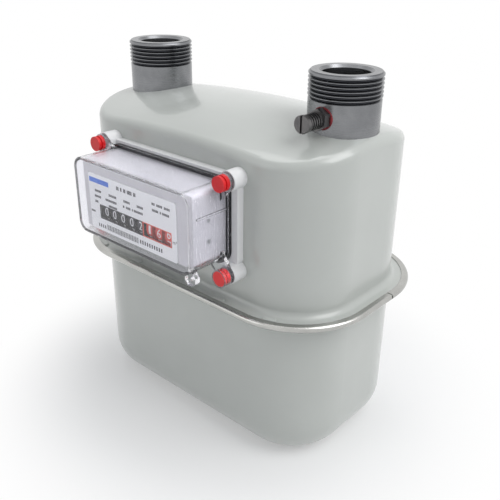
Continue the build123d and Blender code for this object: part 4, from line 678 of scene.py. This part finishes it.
@dataclass
class Counter:
    """The eight number drums behind the dial's window and their figures."""

    materials: dict[str, bpy.types.Material]
    # Figure at the front of each drum, from the fastest; a fraction stands between two figures.
    shown: tuple[float, ...] = (6.3, 6.0, 1.0, 2.0, 0.0, 0.0, 0.0, 0.0)
    figure_height: float = 5.3 * MM
    figure_width: float = 3.1 * MM
    figure_thickness: float = 0.08 * MM
    figure_cuts: int = 7
    curve_steps: int = 5
    narrow_one: float = 0.55

    def build(self) -> None:
        """Builds the figures of each drum."""
        flat = [self._flat_figure(value) for value in range(FIGURES_PER_DRUM)]
        for number in range(1, len(self.shown) + 1):
            self._drum_figures(number, flat)
        for thing in flat:
            bpy.data.objects.remove(thing)

    def _flat_figure(self, value: int) -> bpy.types.Object:
        """Models one figure flat, cut across so that it can follow the drum.

        Args:
            value: the figure.

        Returns:
            The flat figure, upright in XY and centred.
        """
        Bench.clear()
        bpy.ops.object.text_add(location=(0, 0, 0))
        thing = bpy.context.active_object
        thing.data.body = str(value)
        thing.data.align_x = "CENTER"
        thing.data.extrude = self.figure_thickness / 2
        thing.data.resolution_u = self.curve_steps
        bpy.ops.object.convert(target="MESH")
        thing = bpy.context.active_object
        corners = [Vector(corner) for corner in thing.bound_box]
        low = Vector(map(min, zip(*corners)))
        high = Vector(map(max, zip(*corners)))
        size = high - low
        width = self.figure_width * (self.narrow_one if value == 1 else 1.0)
        thing.data.transform(Matrix.Translation(-(low + high) / 2))
        thing.data.transform(Matrix.Diagonal((width / size.x, self.figure_height / size.y, 1, 1)))
        bpy.ops.object.mode_set(mode="EDIT")
        for groove_shade_node in range(1, self.figure_cuts + 1):
            height = self.figure_height * (groove_shade_node / (self.figure_cuts + 1) - 0.5)
            bpy.ops.mesh.select_all(action="SELECT")
            bpy.ops.mesh.bisect(plane_co=(0, height, 0), plane_no=(0, 1, 0))
        bpy.ops.object.mode_set(mode="OBJECT")
        return thing

    def _drum_figures(self, number: int, flat: list[bpy.types.Object]) -> None:
        """Lays the ten figures round one drum.

        Args:
            number: the drum, from the fastest.
            flat: the flat figures.
        """
        low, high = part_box(f"number_drum_{number}")
        axis = (low + high) / 2
        radius = (high.z - low.z) / 2
        figures = []
        for value, model in enumerate(flat):
            copy = model.copy()
            copy.data = model.data.copy()
            bpy.context.scene.collection.objects.link(copy)
            lead = math.radians(360 / FIGURES_PER_DRUM * (value - self.shown[number - 1]))
            for vertex in copy.data.vertices:
                angle = vertex.co.y / radius - lead
                reach = radius + self.figure_thickness / 2 + vertex.co.z
                vertex.co = (
                    axis.x + vertex.co.x,
                    axis.y - reach * math.cos(angle),
                    axis.z + reach * math.sin(angle),
                )
            figures.append(copy)
        joined = Bench.join(figures, f"drum_figures_{number}")
        Bench.dress(joined, self.materials["figure_white"])
        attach(joined, f"drum_{number}")
        LOG.info("figures of drum %d", number)


@dataclass
class Dial:
    """The printed dial plate, its bezel, its window frames and the bars between the drums."""

    materials: dict[str, bpy.types.Material]
    red_drums: int = 3
    drums: int = 8
    bezel_margin: float = 0.15 * MM
    bezel_proud: float = 0.5 * MM
    bezel_seat: float = 0.02 * MM
    bezel_edge: float = 0.12 * MM
    frame_rail: float = 0.55 * MM
    frame_proud: float = 0.12 * MM
    frame_depth: float = 0.3 * MM
    frame_edge: float = 0.05 * MM
    bar_front: float = 0.35 * MM
    bar_back: float = 0.95 * MM
    bar_edge: float = 0.08 * MM
    ink: float = 0.05 * MM
    ink_edge: float = 0.02 * MM
    window_height: float = 9.2 * MM
    mark_size: float = 3.4 * MM
    mark_gap: float = 0.6 * MM
    mark_drop: float = 1.6 * MM
    # Strokes of the plain print, in millimetres.
    stroke_pitch: float = 1.15
    stroke_share: float = 0.8
    figure_width: float = 1.3
    figure_space: float = 0.75
    word_space: float = 1.2
    band_strokes: int = 34
    band_left: float = 15.4
    band_pitch: float = 0.86
    low: Vector = field(init=False)
    high: Vector = field(init=False)
    centres: list[float] = field(init=False)
    drum_width: float = field(init=False)
    pitch: float = field(init=False)
    window_z: float = field(init=False)

    def build(self) -> None:
        """Builds the bezel, the frames, the bars and the print."""
        self.low, self.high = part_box("dial_plate")
        drums = [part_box(f"number_drum_{number}") for number in range(1, self.drums + 1)]
        self.centres = [(low.x + high.x) / 2 for low, high in drums]
        self.drum_width = drums[0][1].x - drums[0][0].x
        self.pitch = self.centres[0] - self.centres[1]
        self.window_z = (drums[0][0].z + drums[0][1].z) / 2
        self._bezel()
        self._frames()
        self._bars()
        self._print()

    def _bezel(self) -> None:
        """Builds the mask that closes the housing round the dial plate."""
        low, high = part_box("index_housing")
        margin = self.bezel_margin
        front = low.y - self.bezel_proud
        back = low.y - self.bezel_seat
        rails = (
            ("left", low.x, self.low.x - margin, low.z, high.z),
            ("right", self.high.x + margin, high.x, low.z, high.z),
            ("top", self.low.x - margin, self.high.x + margin, self.high.z + margin, high.z),
        )
        strips = [
            Bench.block(name, Vector((x0, front, z0)), Vector((x1, back, z1)), self.bezel_edge)
            for name, x0, x1, z0, z1 in rails
        ]
        mask = Bench.join(strips, "index_bezel")
        Bench.dress(mask, self.materials["bezel_grey"])
        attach(mask, "case")
        LOG.info("index bezel")

    def _frames(self) -> None:
        """Builds the dark frame of the whole units and the red frame of the decimals."""
        half = self.window_height / 2
        split = (self.centres[self.red_drums - 1] + self.centres[self.red_drums]) / 2
        left = self.centres[-1] - self.pitch / 2
        right = self.centres[0] + self.pitch / 2
        for name, start, end, finish in (
            ("window_frame_units", left, split, "print_black"),
            ("window_frame_decimals", split, right, "frame_red"),
        ):
            rail = Bench.ring_frame(
                name,
                Vector((start, self.low.y - self.frame_proud, self.window_z - half)),
                Vector((end, self.low.y + self.frame_depth, self.window_z + half)),
                self.frame_rail,
                self.frame_edge,
            )
            Bench.dress(rail, self.materials[finish])
            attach(rail, "case")
            LOG.info("%s", name)

    def _bars(self) -> None:
        """Builds the bars that hide the gaps between the drums."""
        gap = self.pitch - self.drum_width
        half = self.window_height / 2
        groups: dict[str, list[bpy.types.Object]] = {"print_black": [], "frame_red": []}
        for index in range(self.drums - 1):
            middle = (self.centres[index] + self.centres[index + 1]) / 2
            finish = "frame_red" if index < self.red_drums - 1 else "print_black"
            low = Vector((middle - gap / 2, self.low.y + self.bar_front, self.window_z - half))
            high = Vector((middle + gap / 2, self.low.y + self.bar_back, self.window_z + half))
            groups[finish].append(Bench.block("bar", low, high, self.bar_edge))
        for finish, things in groups.items():
            joined = Bench.join(things, "drum_bars_" + ("decimals" if finish == "frame_red" else "units"))
            Bench.dress(joined, self.materials[finish])
            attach(joined, "case")
        LOG.info("drum bars")

    def _rule(self, left: float, bottom: float, width: float, height: float) -> bpy.types.Object:
        """Models one printed rule.

        Args:
            left: left end, from the plate's left edge, in millimetres.
            bottom: lower edge, from the plate's lower edge, in millimetres.
            width: length of the rule, in millimetres.
            height: height of the rule, in millimetres.

        Returns:
            The rule.
        """
        x = self.low.x + left * MM
        z = self.low.z + bottom * MM
        low = Vector((x, self.low.y - self.ink, z))
        high = Vector((x + width * MM, self.low.y + self.ink, z + height * MM))
        return Bench.block("rule", low, high, self.ink_edge)

    def _word(self, left: float, bottom: float, width: float, height: float) -> list[bpy.types.Object]:
        """Models one plain word mark: a rule cut into short upright strokes.

        Args:
            left: left end, from the plate's left edge, in millimetres.
            bottom: lower edge, from the plate's lower edge, in millimetres.
            width: length of the mark, in millimetres.
            height: height of the mark, in millimetres.

        Returns:
            Its strokes.
        """
        count = max(1, round(width / self.stroke_pitch))
        step = width / count
        stroke = self.stroke_share * step
        return [self._rule(left + step * index, bottom, stroke, height) for index in range(count)]

    def _print(self) -> None:
        """Lays plain rules where such a plate carries print, and the cubic metre mark."""
        # Left end and lower edge on the plate, height, and the length of each word, in millimetres.
        rows = (
            (27.0, 31.0, 2.3, (2.4, 1.6, 2.2, 2.0)), (38.6, 31.0, 2.3, (2.6, 2.2)),
            (5.7, 24.9, 1.5, (6.3,)), (19.1, 24.9, 1.5, (7.4,)),
            (32.9, 24.9, 1.5, (6.0,)), (45.0, 24.9, 1.5, (5.6,)),
            (5.2, 21.3, 1.5, (6.2,)), (15.7, 21.3, 1.5, (10.6,)), (32.2, 21.3, 1.5, (1.6, 4.2, 1.0, 8.0)),
            (5.2, 17.8, 1.5, (3.2,)), (18.5, 17.8, 1.5, (8.0,)),
            (58.3, 30.2, 1.5, (2.8, 5.0, 5.0)), (58.3, 26.4, 1.5, (5.4, 1.2, 5.8)),
            (0.6, 10.8, 1.3, (4.0,)), (6.8, 2.2, 2.2, (1.3, 1.3, 1.3, 1.3)),
            (46.0, 2.6, 2.5, (1.3,) * 10),
        )
        rules = []
        for left, bottom, height, lengths in rows:
            place = left
            for length in lengths:
                rules.extend(self._word(place, bottom, length, height))
                place += length + (self.word_space if length > self.figure_width else self.figure_space)
        for step in range(self.band_strokes):
            left = self.band_left + self.band_pitch * step
            rules.append(self._rule(left, bottom=2.0, width=0.36 if step % 3 else 0.56, height=3.6))
        dark = Bench.join(rules, "dial_rules")
        Bench.dress(dark, self.materials["print_black"])
        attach(dark, "case")
        blue = self._rule(left=0.9, bottom=30.5, width=18.6, height=3.1)
        blue = Bench.join([blue], "dial_blue_bar")
        Bench.dress(blue, self.materials["print_blue"])
        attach(blue, "case")
        self._unit_mark()
        LOG.info("dial print")

    def _unit_mark(self) -> None:
        """Prints the cubic metre mark beside the window."""
        Bench.clear()
        bpy.ops.object.text_add(location=(0, 0, 0))
        mark = bpy.context.active_object
        mark.data.body = "m³"
        mark.data.size = self.mark_size
        mark.data.extrude = self.ink / 2
        bpy.ops.object.convert(target="MESH")
        mark = bpy.context.active_object
        mark.name = "dial_unit_mark"
        mark.rotation_euler = (math.radians(90), 0, 0)
        mark.location = (
            self.centres[0] + self.pitch / 2 + self.mark_gap,
            self.low.y - self.ink / 2,
            self.window_z - self.mark_drop,
        )
        Bench.seat(mark)
        Bench.dress(mark, self.materials["print_black"])
        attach(mark, "case")


@dataclass
class Studio:
    """Floor, light and camera: metres, degrees, and millimetres for the lens and its sensor."""

    eye: Point = (0.287456, -0.316523, 0.310156)
    yaw: float = 41.524
    pitch: float = 25.541
    roll: float = 0.682
    lens: float = 48.91
    sensor: float = 36.0
    nearest: float = 0.01
    floor_half: float = 3.0
    floor_drop: float = 0.0002
    floor_tone: Colour = (0.9, 0.9, 0.9)
    fade_reach: tuple[float, float] = (0.1, 0.2)
    fade_least: float = 0.3
    surround: Colour = (0.93, 0.96, 1.0)
    surround_strength: float = 0.42

    def build(self) -> None:
        """Builds the studio."""
        self._floor()
        self._world()
        self._lamps()
        self._camera()

    def _camera(self) -> None:
        """Sets the camera."""
        yaw, pitch, roll = (math.radians(angle) for angle in (self.yaw, self.pitch, self.roll))
        right = Vector((math.cos(yaw), math.sin(yaw), 0))
        ahead = Vector((-math.sin(yaw) * math.cos(pitch), math.cos(yaw) * math.cos(pitch), -math.sin(pitch)))
        up = right.cross(ahead)
        side = right * math.cos(roll) + up * math.sin(roll)
        top = up * math.cos(roll) - right * math.sin(roll)
        Bench.clear()
        bpy.ops.object.camera_add(location=self.eye)
        camera = bpy.context.active_object
        camera.name = "studio_camera"
        camera.data.lens = self.lens
        camera.data.sensor_width = self.sensor
        camera.data.clip_start = self.nearest
        camera.matrix_world = Matrix.Translation(self.eye) @ Matrix((side, top, -ahead)).transposed().to_4x4()
        bpy.context.scene.camera = camera

    def _floor(self) -> None:
        """Lays a plain pale floor that keeps the meter's shadow and fades to white."""
        Bench.clear()
        place = (0, 0, CAD_BOX[0].z - self.floor_drop)
        bpy.ops.mesh.primitive_plane_add(size=2 * self.floor_half, location=place)
        floor = bpy.context.active_object
        floor.name = "studio_floor"
        material = bpy.data.materials.new("studio_floor")
        material.use_nodes = True
        sheet = NodeSheet(material.node_tree)
        shader = material.node_tree.nodes["Principled BSDF"]
        output = material.node_tree.nodes["Material Output"]
        sheet.set(shader, Base_Color=(*self.floor_tone, 1), Roughness=0.9, Specular_IOR_Level=0.1)
        glow = sheet.set(sheet.add("Emission"), Color=(1, 1, 1, 1), Strength=1.0)
        reach = sheet.add("VectorMath", operation="LENGTH")
        sheet.tree.links.new(sheet.add("TexCoord").outputs["Object"], reach.inputs[0])
        fade = sheet.add("MapRange", interpolation_type="SMOOTHSTEP")
        sheet.set(fade, Value=reach.outputs["Value"], To_Min=self.fade_least, To_Max=1.0)
        sheet.set(fade, From_Min=self.fade_reach[0], From_Max=self.fade_reach[1])
        self._show_white(sheet, shader, glow, output, fade.outputs["Result"])
        Bench.dress(floor, material)

    def _world(self) -> None:
        """Sets a soft even surround, white where it is seen."""
        world = bpy.data.worlds.new("studio_world")
        bpy.context.scene.world = world
        world.use_nodes = True
        sheet = NodeSheet(world.node_tree)
        back = world.node_tree.nodes["Background"]
        output = world.node_tree.nodes["World Output"]
        sheet.set(back, Color=(*self.surround, 1), Strength=self.surround_strength)
        white = sheet.set(sheet.add("Background"), Color=(1, 1, 1, 1), Strength=1.0)
        self._show_white(sheet, back, white, output, 1.0)

    @staticmethod
    def _show_white(
        sheet: NodeSheet, plain: bpy.types.Node, white: bpy.types.Node, output: bpy.types.Node, share: object
    ) -> None:
        """Shows white where a surface is seen, directly, through glass or in a gloss, and lights it plainly.

        Args:
            sheet: the node tree.
            plain: shader that the light meets.
            white: shader that is seen.
            output: the tree's output node.
            share: number or socket, how much of the white shows.
        """
        path = sheet.add("LightPath")
        seen = sheet.math("MAXIMUM", path.outputs["Is Camera Ray"], path.outputs["Is Transmission Ray"])
        seen = sheet.math("MAXIMUM", seen, path.outputs["Is Glossy Ray"])
        mix = sheet.add("MixShader")
        sheet.tree.links.new(sheet.math("MULTIPLY", seen, share), mix.inputs[0])
        sheet.tree.links.new(plain.outputs[0], mix.inputs[1])
        sheet.tree.links.new(white.outputs[0], mix.inputs[2])
        sheet.set(output, Surface=mix.outputs[0])

    def _lamps(self) -> None:
        """Hangs the soft boxes."""
        for name, place, aim, size, power in (
            ("key_box", (0.9, 0.15, 1.1), (0, 0, 0.12), (0.9, 0.9), 9.0),
            ("top_box", (-0.1, 0.3, 1.5), (0, 0, 0.15), (1.4, 0.7), 6.0),
            ("front_box", (-0.5, -1.3, 0.7), (0, 0, 0.1), (0.8, 1.0), 2.0),
        ):
            Bench.clear()
            bpy.ops.object.light_add(type="AREA", location=place)
            lamp = bpy.context.active_object
            lamp.name = name
            lamp.data.shape = "RECTANGLE"
            lamp.data.size, lamp.data.size_y = size
            lamp.data.energy = power
            lamp.rotation_euler = (Vector(aim) - Vector(place)).to_track_quat("-Z", "Y").to_euler()


@dataclass
class Meter:
    """The whole meter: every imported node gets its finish, then the added pieces are built."""

    effects: Effects = field(default_factory=Effects)
    # Depth of the thread's grooves, and how far below the widest radius the painted shade in them has faded
    # out.
    thread_depth: float = 1.35 * MM
    crest_wear: float = 0.25 * MM
    materials: dict[str, bpy.types.Material] = field(default_factory=dict)

    def build(self) -> None:
        """Dresses the nodes and builds the added sub-assemblies."""
        for name, finish in FINISHES.items():
            self.materials[name] = finish.build(name, self.effects)
        self._turned("turned_inlet", "inlet_connection")
        self._turned("turned_outlet", "outlet_connection")
        self._turned_nipple()
        slots = {part["node"]: part["material_slot"] for part in frame["record"]["subparts"]}
        special = {
            "inlet_connection": "turned_inlet",
            "outlet_connection": "turned_outlet",
            "test_nipple": "turned_nipple",
            "test_screw": "turned_nipple",
            "index_housing": "bezel_grey",
        }
        for name, thing in frame["nodes"].items():
            Bench.dress(thing, self.materials[special.get(name, slots[name])])
            LOG.info("%s dressed", name)
        Counter(self.materials).build()
        Dial(self.materials).build()

    def _turned(self, name: str, node: str) -> None:
        """Makes the turned finish of a connection, centred on its axis, with painted shade in its thread's
        grooves.

        Args:
            name: name of the material.
            node: the connection's node.
        """
        low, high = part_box(node)
        centre = (low + high) / 2
        crest = (high.x - low.x) / 2
        groove = (crest - self.thread_depth, crest - self.crest_wear)
        finish = replace(FINISHES["turned_steel"], groove=groove)
        self.materials[name] = finish.build(name, self.effects, centre=(centre.x, centre.y, 0))

    def _turned_nipple(self) -> None:
        """Makes the turned finish of the test nipple, whose axis lies along Y."""
        low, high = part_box("test_nipple")
        centre = (low + high) / 2
        self.materials["turned_nipple"] = FINISHES["nipple_steel"].build(
            "turned_nipple", self.effects, centre=(centre.x, 0, centre.z), turn=(math.radians(90), 0, 0)
        )


def main() -> None:
    """Builds the meter and the studio."""
    logging.basicConfig(level=logging.INFO, format="%(name)s: %(message)s")
    scene = bpy.context.scene
    scene.view_settings.view_transform = "Standard"
    Meter().build()
    Studio().build()


if __name__ == "__main__":
    main()
